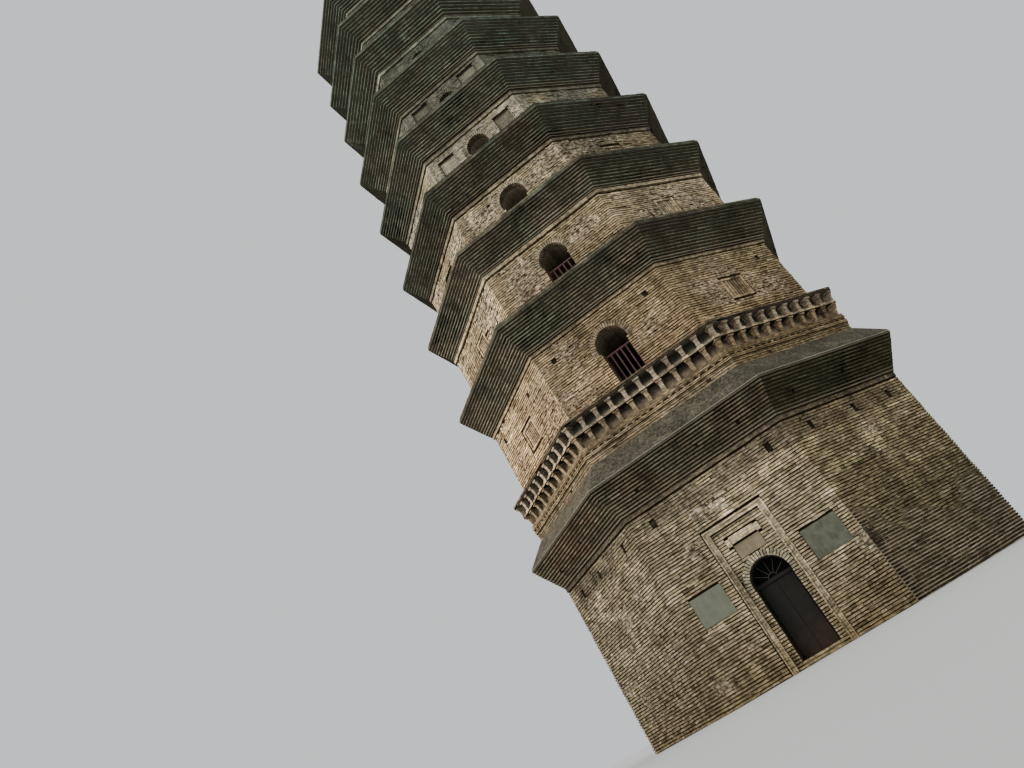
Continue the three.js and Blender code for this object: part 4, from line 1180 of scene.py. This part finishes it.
# finial: the same profile as the CAD solid, rounded by a Catmull-Rom curve through its corners
FINIAL_BASE, FINIAL_HEIGHT, AROUND = 30900, 2300, 48
CORNERS_OF_PROFILE = np.array([
    (430, 0), (430, 90), (300, 150), (250, 260), (470, 430), (500, 520), (260, 600), (170, 680), (330, 840),
    (370, 990), (300, 1140), (150, 1240), (210, 1340), (240, 1440), (190, 1550), (80, 1630), (50, 1800),
    (30, 2200),
], float)
last = len(CORNERS_OF_PROFILE) - 1
profile = []
for i in range(last):
    before, here, after, beyond = CORNERS_OF_PROFILE[[max(0, i - 1), i, i + 1, min(last, i + 2)]]
    square, cube = 2 * before - 5 * here + 4 * after - beyond, 3 * here - before - 3 * after + beyond
    for t in (0.0, 0.25, 0.5, 0.75) if i > 1 else (0.0,):
        radius, z = 0.5 * (2 * here + (after - before) * t + square * t ** 2 + cube * t ** 3)
        profile.append((min(max(radius, 20), 500), max(z, 0)))
profile.append(CORNERS_OF_PROFILE[-1])
points = [(0.0, 0.0, FINIAL_BASE)]
for radius, z in profile:
    for angle in (2 * math.pi * k / AROUND for k in range(AROUND)):
        points.append((radius * math.cos(angle), radius * math.sin(angle), FINIAL_BASE + z))
points.append((0.0, 0.0, FINIAL_BASE + FINIAL_HEIGHT))
faces = [(0, 1 + (k + 1) % AROUND, 1 + k) for k in range(AROUND)]
for a in range(1, 1 + (len(profile) - 1) * AROUND, AROUND):
    b = a + AROUND
    faces += [(a + k, a + (k + 1) % AROUND, b + (k + 1) % AROUND, b + k) for k in range(AROUND)]
faces += [(b + k, b + (k + 1) % AROUND, len(points) - 1) for k in range(AROUND)]
spire = Skin(800)
spire.add([points], faces, spire.random_tones(1))
finial = dress(spire, "turned_finial", IRON)
finial.data.shade_smooth()
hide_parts("finial")


# ---------------------------------------------------------------- floor, light, camera
floor_mesh = bpy.data.meshes.new("floor")
FLOOR_REACH = 260.0
corners = [(x * FLOOR_REACH, y * FLOOR_REACH, 0) for x, y in ((-1, -1), (1, -1), (1, 1), (-1, 1))]
floor_mesh.from_pydata(corners, [], [(0, 1, 2, 3)])
floor = bpy.data.objects.new("floor", floor_mesh)
floor.location.z = -0.002
bpy.context.scene.collection.objects.link(floor)
floor_paint = Paint("pale_floor", 0.9)
floor_paint.colour = (0.66, 0.66, 0.64)
floor_mesh.materials.append(floor_paint.finish())

world = bpy.data.worlds.new("studio")
world.use_nodes = True
background = world.node_tree.nodes["Background"]
background.inputs["Color"].default_value = (0.83, 0.86, 0.88, 1)
background.inputs["Strength"].default_value = 0.95
bpy.context.scene.world = world

key = bpy.data.lights.new("key", "SUN")
key.energy, key.angle, key.color = 1.6, math.radians(50), (1.0, 0.97, 0.92)
key_object = bpy.data.objects.new("key", key)
key_object.rotation_euler = Vector((0.75, 0.75, -0.8)).to_track_quat("-Z", "Y").to_euler()
bpy.context.scene.collection.objects.link(key_object)

# the camera looks up at the tower and is rolled
AZIMUTH, ELEVATION, ROLL = (math.radians(a) for a in (-13.192, 25.401, -30.909))
flat = Vector((math.sin(AZIMUTH), math.cos(AZIMUTH), 0))
ahead = math.cos(ELEVATION) * flat + Vector((0, 0, math.sin(ELEVATION)))
level = Vector((math.cos(AZIMUTH), -math.sin(AZIMUTH), 0))
above = level.cross(ahead)
right = math.cos(ROLL) * level + math.sin(ROLL) * above
up = -math.sin(ROLL) * level + math.cos(ROLL) * above
camera = bpy.data.objects.new("camera", bpy.data.cameras.new("camera"))
camera.data.sensor_width, camera.data.lens = 36.0, 28.02
camera.data.clip_end = 1000
turn = Matrix((right, up, -ahead)).transposed().to_4x4()
camera.matrix_world = Matrix.Translation((1.594, -23.808, 0.317)) @ turn
bpy.context.scene.collection.objects.link(camera)
bpy.context.scene.camera = camera
